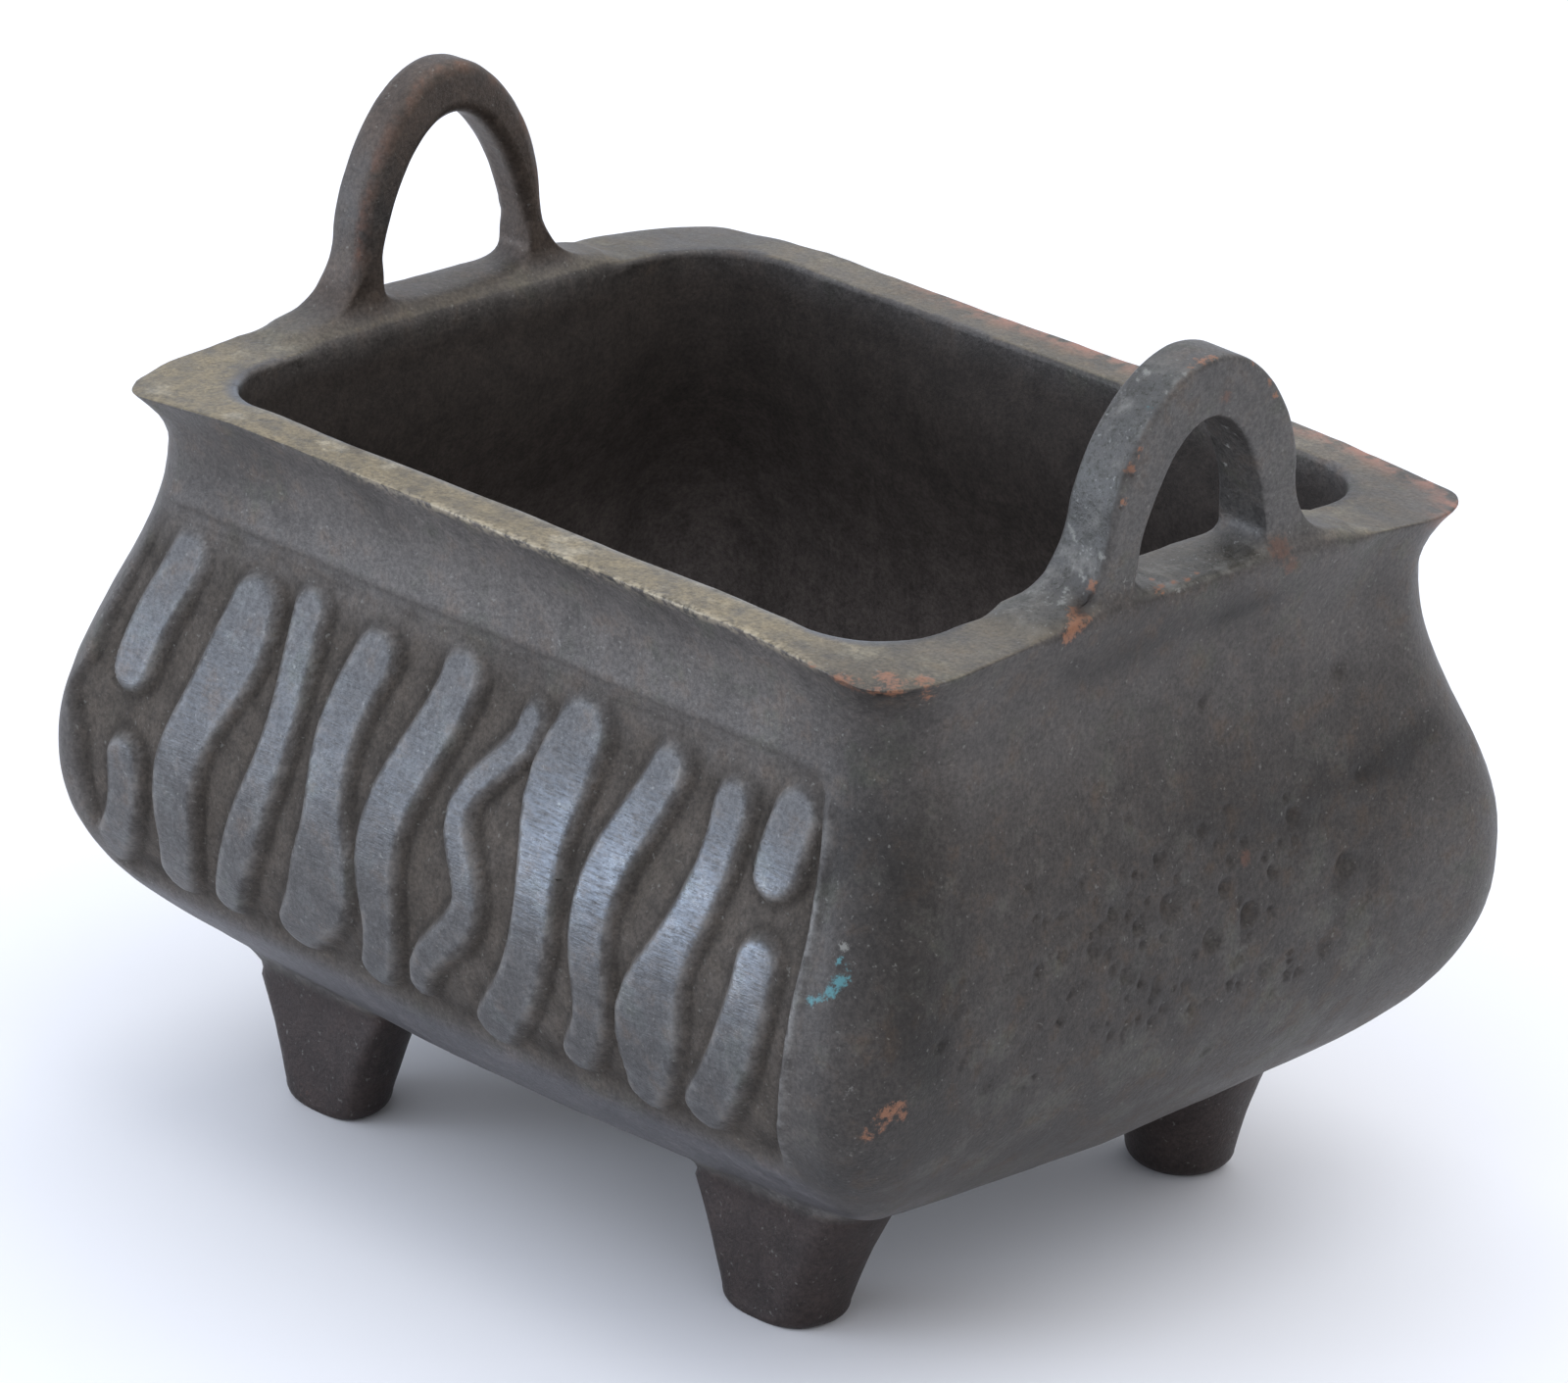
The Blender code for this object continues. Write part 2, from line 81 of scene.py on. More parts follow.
# BODY
# a section is half its length and width at its corners, the reach of its corners along and
# across, and how far its ends and its sides bow out between them
body = {
    "rim": (46.1, 35.0, 4.5, 8.5, 0, 0),
    "neck": (44.9, 32.6, 7.6, 7.6, 0, 0),
    "belly": (49.0, 39.4, 4.5, 7.0, 0, 0),
    "base": (37.3, 25.9, 2.5, 2.5, 1.1, 2.3),
    "opening": (38.9, 30.1, 7.5, 7.5, 0, 0),
    "hollowBelly": (46.0, 36.4, 7.5, 7.5, 0, 0),
    "hollowFloor": (36.1, 24.7, 7.5, 7.5, 0, 0),
    "baseZ": 11.9, "bellyZ": 31.5, "neckZ": 56.9, "rimZ": 62.9, "floorZ": 14.9,
    "tuckPower": 2.4, "cornerDroop": 1.3, "droopReach": 16,
    "baseRound": 0.3, "baseBand": 0.6, "lipRound": 0.38, "openingRound": 0.6, "floorRound": 2.2,
    "sideCells": 58, "endCells": 40, "cornerCells": 6,
    "handleEndPull": 0.3, "handleEndReach": (9, 16),  # the lip fades out in front of the handles
}
baseZ, bellyZ, neckZ, rimZ, floorZ = (body[k] for k in ("baseZ", "bellyZ", "neckZ", "rimZ", "floorZ"))


def mixed(first, second, share):
    return np.asarray(first, float) + (np.asarray(second, float) - np.asarray(first, float)) * share


def swelling(z, bottomZ, bottom, belly, neck):
    z = np.asarray(z, float)[..., None]
    below = mixed(belly, bottom, np.clip((bellyZ - z) / (bellyZ - bottomZ), 0, 1) ** body["tuckPower"])
    rise = np.clip((z - bellyZ) / (neckZ - bellyZ), 0, 1)
    above = mixed(belly, neck, 0.5 - 0.5 * np.cos(math.pi * rise))
    return np.where(z <= bellyZ, below, above)


def outside(z):
    wall = swelling(z, baseZ, body["base"], body["belly"], body["neck"])
    z = np.asarray(z, float)[..., None]
    flare = np.clip((z - neckZ) / (rimZ - neckZ), 0, 1) ** 2
    return wall + (mixed(body["neck"], body["rim"], flare) - np.asarray(body["neck"]))


def inside(z):
    return swelling(z, floorZ, body["hollowFloor"], body["hollowBelly"], body["opening"])


def inset(section, depth):
    depth = np.asarray(depth, float)[..., None]
    section = np.asarray(section, float)
    half, corners, bows = section[..., :2] - depth, section[..., 2:4] - depth, section[..., 4:]
    bows = bows * np.clip(1 - depth / section[..., 1:2], 0, 1)
    return np.concatenate([half, np.maximum(corners, 0.5), bows], axis=-1)


def stations(section, z):
    z = np.asarray(z, float)
    return np.concatenate([section, z[..., None]], axis=-1)


def rounded(start, edge, end):
    # stations on a curve from start to end that is drawn towards the edge between them
    t = np.linspace(0, 1, 40)[:, None]
    return (1 - t) ** 2 * start + 2 * t * (1 - t) * edge + t ** 2 * end


def even(line, count):
    # the same line in equal steps
    steps = np.linalg.norm(np.diff(line[:, [1, 6]], axis=0), axis=1)
    along = np.concatenate([[0], np.cumsum(steps)])
    spots = np.linspace(0, along[-1], count + 1)
    return np.stack([np.interp(spots, along, line[:, k]) for k in range(line.shape[1])], axis=1)


def bodyProfile():
    # from the middle of the underside, out and up, over the rim and down to the middle of the floor;
    # each zone is a line and how many cells it has
    base, rim, opening, floor = (np.asarray(body[k]) for k in ("base", "rim", "opening", "hollowFloor"))
    br, lr, orr, fr = (body[k] for k in ("baseRound", "lipRound", "openingRound", "floorRound"))
    bandTop = br + body["baseBand"]
    zones = []

    def flat(section, first, last, z, samples, cells):
        spread = np.linspace(first, last, samples)
        zones.append((stations(inset(section, spread), np.full(samples, z)), cells))

    def wall(shape, first, last, samples, cells):
        z = np.linspace(first, last, samples)
        zones.append((stations(shape(z), z), cells))

    def turn(edge, end, cells):
        zones.append((rounded(zones[-1][0][-1], edge, end), cells))

    flat(base, base[1] - 1, bandTop, baseZ, 60, 17)
    flat(base, bandTop, br, baseZ, 4, 1)
    turn(stations(base, baseZ), stations(outside(baseZ + br), baseZ + br), 1)
    wall(outside, baseZ + br, baseZ + bandTop, 8, 1)
    wall(outside, baseZ + bandTop, neckZ, 400, 33)
    wall(outside, neckZ, rimZ - lr, 60, 5)
    topStart = stations(inset(rim, lr), rimZ)
    topEnd = stations(inset(opening, -orr), rimZ)
    turn(stations(rim, rimZ), topStart, 2)
    zones.append((mixed(topStart, topEnd, np.linspace(0, 1, 30)[:, None]), 4))
    turn(stations(opening, rimZ), stations(opening, rimZ - orr), 2)
    wall(inside, rimZ - orr, neckZ, 30, 4)
    wall(inside, neckZ, floorZ + fr, 300, 26)
    turn(stations(floor, floorZ), stations(inset(floor, fr), floorZ), 2)
    flat(floor, fr, floor[1] - 1, floorZ, 60, 13)
    rows = [even(line, count * fine)[:-1] for line, count in zones]
    return np.concatenate(rows + [zones[-1][0][-1:]])


def columnPlan():
    # for each fine column, which of the eight stretches of the section it is on and how far along
    counts = [body["sideCells"], body["cornerCells"], body["endCells"], body["cornerCells"]] * 2
    stretch = np.concatenate([np.full(n * fine, k) for k, n in enumerate(counts)])
    share = np.concatenate([np.arange(n * fine) / (n * fine) for n in counts])
    return stretch, share


def sectionPoint(stretch, share, section):
    halfX, halfY, along, across, bowX, bowY = (section[..., k] for k in range(6))
    flatX, flatY = halfX - along, halfY - across
    s, c = np.sin(share * math.pi / 2), np.cos(share * math.pi / 2)
    run = 2 * share - 1
    arch = 1 - run * run
    x = [run * flatX, flatX + along * s, halfX + bowX * arch, flatX + along * c]
    x += [-value for value in x]
    y = [-halfY - bowY * arch, -flatY - across * c, run * flatY, flatY + across * s]
    y += [-value for value in y]
    return np.choose(stretch, x), np.choose(stretch, y)


def droop(x, y, z):
    # the rim's corners hang a little below its middles
    nearEnd = np.clip(1 - (body["rim"][0] - np.abs(x)) / body["droopReach"], 0, 1)
    nearSide = np.clip(1 - (body["rim"][1] - np.abs(y)) / body["droopReach"], 0, 1)
    height = np.clip((z - neckZ) / (rimZ - neckZ), 0, 1)
    return body["cornerDroop"] * nearEnd * nearSide * height


def handleEndPull(x, y, z):
    # how far the lip is drawn in under the handles, so that their faces run down into the cove
    low, high = body["handleEndReach"]
    height = np.clip((z - neckZ) / (rimZ - neckZ), 0, 1)
    under = (1 - ease(low, high, np.abs(y - 0.5))) * ease(40, 44, np.abs(x))
    return body["handleEndPull"] * under * height


# PANELS
# each stroke is one of a few kinds, in a row from the left as the front is seen
panels = {
    "left": -44.0, "right": 40.8, "low": 18.9, "high": 52.5,
    "depth": 1.0, "wall": 0.8, "shoulder": 0.25, "softBottom": 2.6,
    "topDepth": 0.35, "topReach": 5.0,  # the ground comes up towards the panel's top
    "bow": 3.4, "cusp": 1.5, "cuspShare": 0.2, "margin": 0.3,
    "toeGap": 1.3, "tipGap": 2.6, "gapVary": 0.9, "gapTurn": 2.9,
    "width": 4.0, "backWidth": 3.6, "widthVary": 0.14, "widthTurn": 2.3,
    "lean": 3.6, "sway": 1.1, "waves": 1.1, "turn": 1.9,
    "waveSway": 1.7, "waveCount": 1.9, "waveWidth": 0.74,
    "toeSweep": 3.4, "toeShare": 0.3, "toeTaper": 0.3, "waist": 0.1,
    "swells": {"leaf": (0.72, 0.27, 0.17), "bud": (0.42, 0.82, 0.15)},
    "spans": {"pair": ((0, 0.43), (0.57, 1)), "split": ((0, 0.62), (0.75, 1))},
    "front": ("pair", "bud", "tall", "leaf", "tall", "wave", "bud", "tall", "leaf", "split"),
    "back": ("tall", "pair", "bud", "leaf", "tall", "pair", "tall", "leaf", "split"),
    "spread": {-1: 1.0, 1: 1.7},  # how soft the edges are in front and at the back
    "snap": 0.2,
    "borderHeight": 0.45, "borderWidth": 0.45, "grooveDepth": 0.22, "grooveWidth": 0.22,
    "hollows": ((0.8, 0.1, 41), (2.6, 0.12, 42)),  # the ground's roughness: lump size, height and seed
}


def strokeLines(side):
    # the middle lines of a panel's strokes, from toe to tip, with their half widths
    p = panels
    kinds = p["front"] if side < 0 else p["back"]
    width = p["width"] if side < 0 else p["backWidth"]
    margin = p["margin"] + p["bow"] / 2
    pitch = (p["right"] - p["left"] - 2 * margin) / len(kinds)
    lines = []
    for place, kind in enumerate(kinds):
        middle = p["left"] + margin + pitch * (place + 0.5)
        low = p["low"] + p["toeGap"] + p["gapVary"] / 2 * (1 + math.sin(p["gapTurn"] * place))
        rise = p["high"] - p["tipGap"] + p["gapVary"] * math.cos(p["gapTurn"] * place) - low
        sway, waves = (p["waveSway"], p["waveCount"]) if kind == "wave" else (1, p["waves"])
        for first, last in p["spans"].get(kind, ((0, 1),)):
            pad = 0.45 * width / rise  # the round ends reach on past the line
            share = np.linspace(first + pad, last - pad, 16)
            toe = np.maximum(0, 1 - share / p["toeShare"])
            aside = p["lean"] * (share - 0.5) - p["toeSweep"] * toe ** 2
            aside += p["sway"] * sway * np.sin(2 * math.pi * waves * share + p["turn"] * place)
            wide = 1 + p["widthVary"] * math.sin(p["widthTurn"] * place) - p["toeTaper"] * toe
            wide *= p["waveWidth"] if kind == "wave" else 1
            if kind in p["swells"]:
                swell, at, reach = p["swells"][kind]
                wide += swell * bell(share, at, reach)
            wide -= p["waist"] * np.sin(math.pi * share) * np.sin(5 * share + 2 * place)
            lines.append(np.stack([middle + aside, low + rise * share, wide * width / 2], axis=1))
    return lines


strokes = {side: strokeLines(side) for side in (-1, 1)}


def strokeDistance(x, z, side):
    # how far a point is outside the strokes, less than 0 on one
    nearest = np.full(len(x), 50.0)
    for line in strokes[side]:
        for (x0, z0, half0), (x1, z1, half1) in zip(line, line[1:]):
            span = (x1 - x0) ** 2 + (z1 - z0) ** 2
            t = np.clip(((x - x0) * (x1 - x0) + (z - z0) * (z1 - z0)) / span, 0, 1)
            gap = np.hypot(x - x0 - t * (x1 - x0), z - z0 - t * (z1 - z0)) - (half0 + t * (half1 - half0))
            nearest = np.minimum(nearest, gap)
    return nearest


def panelEnds(z):
    # where the panel's ends are at a height: both bow out, the left one with a cusp at its middle
    p = panels
    fromMiddle = np.abs(2 * np.clip((z - p["low"]) / (p["high"] - p["low"]), 0, 1) - 1)
    bow = p["bow"] * fromMiddle ** 2
    cusp = p["cusp"] * np.maximum(0, 1 - fromMiddle / p["cuspShare"])
    return p["left"] + bow - cusp, p["right"] - bow


def panelInside(x, z):
    # how far inside the panel's outline a point is
    p = panels
    left, right = panelEnds(z)
    ends = np.minimum(right - x, x - left)
    return softMin(softMin(ends, p["high"] - z, 1.5), (z - p["low"]) / p["softBottom"] * p["wall"], 1.5)


def groundDistance(x, z, side):
    # how far inside the sunk ground a point is, less than 0 on a stroke or outside the panel
    return np.minimum(panelInside(x, z), strokeDistance(x, z, side))


def panelDepth(x, z, side):
    # how deep the ground lies under the skin: rounded over at its edges, then down to a rough floor
    p = panels
    depth = np.zeros(len(x))
    wide = p["spread"][side]
    near = panelInside(x, z) > -p["shoulder"] * wide
    if near.any():
        x, z = x[near], z[near]
        share = ease(-p["shoulder"] * wide, p["wall"] * wide, groundDistance(x, z, side))
        floor = p["topDepth"] + (p["depth"] - p["topDepth"]) * ease(0, p["topReach"], p["high"] - z)
        for size, height, seed in p["hollows"]:
            floor += height * lumps(np.stack([x, 0 * x, z * 0.6], axis=1), size, seed + side)
        depth[near] = floor * share
    return depth


def drawnToEdges(x, z, side):
    # points that are nearly on the ground's edge are moved onto it, so that it runs clean
    away = groundDistance(x, z, side)
    step = 0.05
    slopeX = (groundDistance(x + step, z, side) - groundDistance(x - step, z, side)) / (2 * step)
    slopeZ = (groundDistance(x, z + step, side) - groundDistance(x, z - step, side)) / (2 * step)
    steep = np.hypot(slopeX, slopeZ)
    use = (np.abs(away) < panels["snap"] * steep) & (steep > 0.7)
    share = np.where(use, away / np.maximum(steep, 0.7) ** 2, 0)
    return x - share * slopeX, z - share * slopeZ


def borderRise(x, z):
    # the thin raised line along the front panel's right end, less a fine groove along its top
    p = panels
    fromEnd = x - panelEnds(z)[1]
    high = ease(p["low"] + 1, p["low"] + 6, z) * (1 - ease(p["high"] - 3, p["high"], z))
    ridge = p["borderHeight"] * bell(fromEnd, 0.35, p["borderWidth"]) * high
    wide = ease(p["left"] + 3, p["left"] + 8, x) * (1 - ease(p["right"] - 9, p["right"] - 5, x))
    groove = p["grooveDepth"] * bell(z, p["high"] + 0.15, p["grooveWidth"]) * wide
    return ridge - groove


# CASTING MARKS
# pits in the right end's wall: place along Y, height, radius and depth
pits = {
    "round": (
        (0.8, 33.4, 1.25, 0.55), (5.2, 34.5, 1.1, 0.6), (18.0, 51.5, 1.2, 0.35), (11.0, 41.2, 0.95, 0.35),
        (-4.9, 41.5, 0.8, 0.35), (-13.2, 36.2, 1.0, 0.35), (-9.5, 33.2, 0.9, 0.35), (7.5, 29.0, 1.1, 0.3),
        (14.5, 29.0, 1.1, 0.26), (-1.2, 27.9, 0.7, 0.26), (2.0, 52.5, 0.6, 0.3), (-4.1, 37.4, 1.3, 0.5),
        (2.4, 37.3, 0.8, 0.45), (-8.0, 36.8, 0.7, 0.45), (8.1, 37.3, 0.7, 0.4), (-10.7, 38.6, 0.6, 0.45),
        (19.4, 42.5, 1.0, 0.25), (0.2, 42.6, 0.6, 0.26), (-2.4, 30.4, 0.6, 0.26), (-6.0, 28.1, 0.6, 0.26),
    ),
    "ring": (17.6, 33.6, 2.2, 0.8, 0.26),  # place, height, radius, width and depth
    "ringPit": (16.8, 35.8, 1.2, 0.34),
    "small": 120, "smallReach": ((-31, 12), (22, 46)), "smallRadius": (0.3, 0.6), "smallDepth": (0.12, 0.3),
    "seam": (39.6, 1.1, 0.13),  # a faint step across the wall: height, width and depth
    "seamSlope": 0.06, "seamWaves": ((0.8, 4), (0.4, 1.7)), "seamEnds": ((-26, -12), (33, 24)),
    "deepness": 1.25, "brim": 0.3,
}


def pitDepth(y, z):
    chance = np.random.RandomState(23)
    (yLow, yHigh), (zLow, zHigh) = pits["smallReach"]
    marks = list(pits["round"]) + [pits["ringPit"]]
    for _ in range(pits["small"]):
        marks.append((
            chance.uniform(yLow, yHigh), zLow + (zHigh - zLow) * chance.beta(2, 2),
            chance.uniform(*pits["smallRadius"]), chance.uniform(*pits["smallDepth"]),
        ))
    depth = np.zeros(len(y))
    for place, height, radius, deep in marks:
        away = np.hypot(y - place, z - height) / radius
        depth = np.maximum(depth, pits["deepness"] * deep * (1 - ease(0.1, 1.15, away)))
        depth -= pits["brim"] * deep * bell(away, 1.3, 0.3)
    place, height, radius, width, deep = pits["ring"]
    depth += deep * bell(np.hypot(y - place, z - height), radius, width)
    height, width, deep = pits["seam"]
    line = height + pits["seamSlope"] * y
    for sway, length in pits["seamWaves"]:
        line += sway * np.sin(y / length)
    for low, high in pits["seamEnds"]:
        deep = deep * ease(low, high, y)
    return depth + deep * bell(z, line, width)


# HANDLES
# heights are above the rim, offsets are towards +Y
handles = {
    "face": 45.1, "lean": 1.2, "sink": 1.5, "rootReach": 6.6, "rootHeight": 7.8, "holeCorner": 2.2,
    "right": {
        "height": 19.1, "width": 21.6, "offset": 0.8, "power": 1.5, "thick": (5.4, 4.7), "edge": 0.5,
        "holeWidth": 15.2, "holeOffset": 0.8, "holeLow": 0.3, "holeTop": 13.95, "holePower": 1.4,
    },
    "left": {
        "height": 20.9, "width": 21.2, "offset": 0.3, "power": 1.5, "thick": (4.5, 3.9), "edge": 1.15,
        "holeWidth": 17.0, "holeOffset": 0.7, "holeLow": 1.0, "holeTop": 16.4, "holePower": 1.5,
    },
    "steps": (8, 4, 16, 34), "acrossSteps": 10, "thickSteps": 5, "edgeSteps": 3,
    "cornerShares": (0.62, 0.9), "springDrop": 1.2,  # where the hole's points change their spacing
    # an edge as it catches the light: the hole's middle, how it faces right and out, and how far out it is
    "glint": {"middle": (0.7, 8), "right": (0.66, 0.17), "outward": (0.3, 0.6), "out": 37},
}


def handleLines(h):
    # the right halves of the outline and of the hole, from the bottom's middle to the crown
    bottom, side, flare, arch = handles["steps"]
    reach, rootHeight = handles["rootReach"], handles["rootHeight"]
    sink, corner = handles["sink"], handles["holeCorner"]
    wide = h["width"] / 2
    outline = [(t, -sink) for t in np.linspace(0, wide + reach, bottom + 1)[:-1]]
    outline += [(wide + reach, t) for t in np.linspace(-sink, 0, side + 1)[:-1]]
    for t in np.linspace(0, math.pi / 2, flare + 1)[:-1]:
        outline.append((wide + reach * (1 - math.sin(t)), rootHeight * (1 - math.cos(t))))
    for t in np.linspace(0, math.pi / 2, arch + 1):
        up = rootHeight + (h["height"] - rootHeight) * math.sin(t) ** (2 / h["power"])
        outline.append((wide * math.cos(t), up))
    # the hole: flat bottom, a rounded corner, then its own arch
    wide, low, top = h["holeWidth"] / 2, h["holeLow"], h["holeTop"]
    dense = [(t, low) for t in np.linspace(0, wide - corner, 20)[:-1]]
    for t in np.linspace(0, math.pi / 2, 20)[:-1]:
        dense.append((wide - corner * (1 - math.sin(t)), low + corner * (1 - math.cos(t))))
    cornerEnd = len(dense)
    for t in np.linspace(0, math.pi / 2, 200):
        up = low + corner + (top - low - corner) * math.sin(t) ** (2 / h["holePower"])
        dense.append((wide * math.cos(t), up))
    dense = np.array(dense)
    along = np.concatenate([[0], np.cumsum(np.linalg.norm(np.diff(dense, axis=0), axis=1))])
    springing = np.interp(rootHeight - handles["springDrop"], dense[cornerEnd:, 1], along[cornerEnd:])
    first, second = (along[cornerEnd] * share for share in handles["cornerShares"])
    marks = np.concatenate([
        np.linspace(0, first, bottom + 1)[:-1],
        np.linspace(first, second, side + 1)[:-1],
        np.linspace(second, springing, flare + 1)[:-1],
        np.linspace(springing, along[-1], arch + 1),
    ])
    hole = np.stack([np.interp(marks, along, dense[:, k]) for k in range(2)], axis=1)
    return np.array(outline), hole


def handleLoop(half, offset):
    # the whole closed line from its right half
    left = half[-2:0:-1] * (-1, 1)
    return np.concatenate([half, left]) + (offset, 0)


def strutRing(across, deep, turns):
    # once round the strut's section: shares of its width and depth, then shares of its edge's radius
    ring = []
    corners = (((0, 0), (1, 1)), ((1, 0), (-1, 1)), ((1, 1), (-1, -1)), ((0, 1), (1, -1)))
    for number, (start, sign) in enumerate(corners):
        end = corners[(number + 1) % 4][0]
        onWidth = number % 2 == 0
        for t in np.linspace(0, math.pi / 2, turns + 1):
            turn = (1 - math.cos(t), 1 - math.sin(t)) if onWidth else (1 - math.sin(t), 1 - math.cos(t))
            ring.append((start, (sign[0] * turn[0], sign[1] * turn[1])))
        count = across if onWidth else deep
        for t in np.arange(1, count) / count:
            spot = (start[0] + (end[0] - start[0]) * t, start[1] + (end[1] - start[1]) * t)
            left = 1 - 2 * t
            ring.append((spot, (sign[0] * left, 0) if onWidth else (0, sign[1] * left)))
    return ring


def handleShell(side):
    h = handles["right" if side > 0 else "left"]
    outline, hole = handleLines(h)
    outline, hole = handleLoop(outline, h["offset"]), handleLoop(hole, h["holeOffset"])
    wide = np.linalg.norm(hole - outline, axis=1)
    share = np.clip((outline[:, 1] + hole[:, 1]) / 2 / h["height"], 0, 1)
    thick = h["thick"][0] + (h["thick"][1] - h["thick"][0]) * share
    edge = np.minimum(h["edge"] * (0.35 + 0.65 * ease(0, 5, outline[:, 1])), np.minimum(wide, thick) * 0.45)
    across, deep, turns = handles["acrossSteps"], handles["thickSteps"], handles["edgeSteps"]
    ring = strutRing(across, deep, turns)
    points = []
    lean = math.radians(handles["lean"])
    for (shareWide, shareDeep), (edgeWide, edgeDeep) in ring:
        a = shareWide * wide + edgeWide * edge
        d = shareDeep * thick + edgeDeep * edge
        flat = outline + (hole - outline) * (a / wide)[:, None]
        up = flat[:, 1]
        points.append(np.stack([
            side * (handles["face"] + math.sin(lean) * up - math.cos(lean) * d),
            flat[:, 0],
            rimZ + math.cos(lean) * up + math.sin(lean) * d,
        ], axis=1))
    grid = np.stack(points, axis=1)
    return loopFaces(grid, True)


def loopFaces(grid, closed):
    # quads over rings of points; the rings themselves are closed
    rows, count = grid.shape[:2]
    index = np.arange(rows * count).reshape(rows, count)
    after = np.roll(index, -1, axis=1)
    up = np.roll(index, -1, axis=0)
    upAfter = np.roll(after, -1, axis=0)
    if not closed:
        index, after, up, upAfter = index[:-1], after[:-1], up[:-1], upAfter[:-1]
    faces = np.stack([index, after, upAfter, up], axis=-1).reshape(-1, 4).tolist()
    return grid.reshape(-1, 3), faces


# FEET
feet = {
    "along": 26.8, "across": 23.7, "height": 11.9, "sink": 1.5, "topRadius": 7.9, "shankRadius": 4.75,
    "taperShare": 0.94, "breadth": 1.17, "edgeRound": 1.5, "hollowing": 0.25, "segments": 44,
    "inset": 0.25, "flattening": 1.6,  # their outer sides stay within the base's outline
}


def footShell(sideX, sideY):
    f = feet
    top = f["height"] + f["sink"]
    profile = [(r, 0.0) for r in np.linspace(0.6, f["shankRadius"] - f["edgeRound"], 4)[:-1]]
    for t in np.linspace(0, math.pi / 2, 8):
        out = f["shankRadius"] - f["edgeRound"] * (1 - math.sin(t))
        profile.append((out, f["edgeRound"] * (1 - math.cos(t))))
    taperTop = f["height"] * f["taperShare"]
    for z in np.linspace(f["edgeRound"], taperTop, 11)[1:]:
        share = (z - f["edgeRound"]) / (taperTop - f["edgeRound"])
        out = f["shankRadius"] + (f["topRadius"] - f["shankRadius"]) * share
        profile.append((out - f["hollowing"] * math.sin(math.pi * share), z))
    profile += [(f["topRadius"], z) for z in np.linspace(taperTop, top, 5)[1:]]
    angle = np.arange(f["segments"]) * 2 * math.pi / f["segments"]
    turn = math.pi / 4 * sideX * sideY
    halfX, halfY = (value - f["inset"] for value in body["base"][:2])
    rings = []
    for out, z in profile:
        a, b = out * np.cos(angle), out * np.sin(angle) * f["breadth"]
        x = f["along"] + sideX * (a * math.cos(turn) - b * math.sin(turn))
        y = f["across"] + sideY * (a * math.sin(turn) + b * math.cos(turn))
        x = softMin(x, np.full(len(x), halfX + body["base"][4] / 2), f["flattening"])
        y = softMin(y, np.full(len(y), halfY + body["base"][5] / 2), f["flattening"])
        rings.append(np.stack([sideX * x, sideY * y, np.full(len(angle), z)], axis=1))
    grid = np.stack(rings)
    points, faces = loopFaces(grid, False)
    count = f["segments"]
    faces.append(list(range(count))[::-1])
    faces.append([len(points) - count + k for k in range(count)])
    return points, faces


# SKIN OF THE BODY
# rows of cells are counted from the middle of the underside
far = 99
handleRoots = {"out": (36, far), "y": (-20.5, 20.5), "z": (59.5, far)}
# where cells are split more finely, a later line over an earlier one: how many times each way, which
# rows, and the limits of a cell's middle
cellZones = (
    (2, (57, 67), {}),  # the lip
    (2, (18, 60), {"x": (38, far), "y": (-36, 36), "z": (18, 56)}),  # the right end
    (2, (18, 60), {"x": (-46, 44), "y": (30, far), "z": (17.5, 53.8)}),  # the back panel
    (4, (18, 60), {"x": (-46.5, 44.5), "y": (-far, -28), "z": (17.5, 53.8)}),  # the front panel
    (2, (17, 20), {}),  # the base's edge
    (4, (18, 60), {"x": (38, far), "y": (-20, 24), "z": (25, 45)}),  # the large pits
    (2, (57, 72), handleRoots),
    (4, (61, 64), handleRoots),
    (2, (0, 24), {"foot": (6.0, 10.6)}),  # the feet's joins
)
carving = {"rows": (18, 58), "drawn": (18, 54), "carved": (15, 56)}  # rows, then heights


def cellSplits(middle, rowCount):
    x, y, z = np.moveaxis(middle, -1, 0)
    foot = np.hypot(np.abs(x) - feet["along"], np.abs(y) - feet["across"])
    measures = {"x": x, "y": y, "z": z, "out": np.abs(x), "foot": foot}
    row = np.arange(rowCount)[:, None] + np.zeros(x.shape[1])
    splits = np.ones(x.shape, int)
    for count, (first, end), limits in cellZones:
        zone = (row >= first) & (row < end)
        for name, (low, high) in limits.items():
            zone &= (measures[name] > low) & (measures[name] < high)
        splits[zone] = count
    return splits


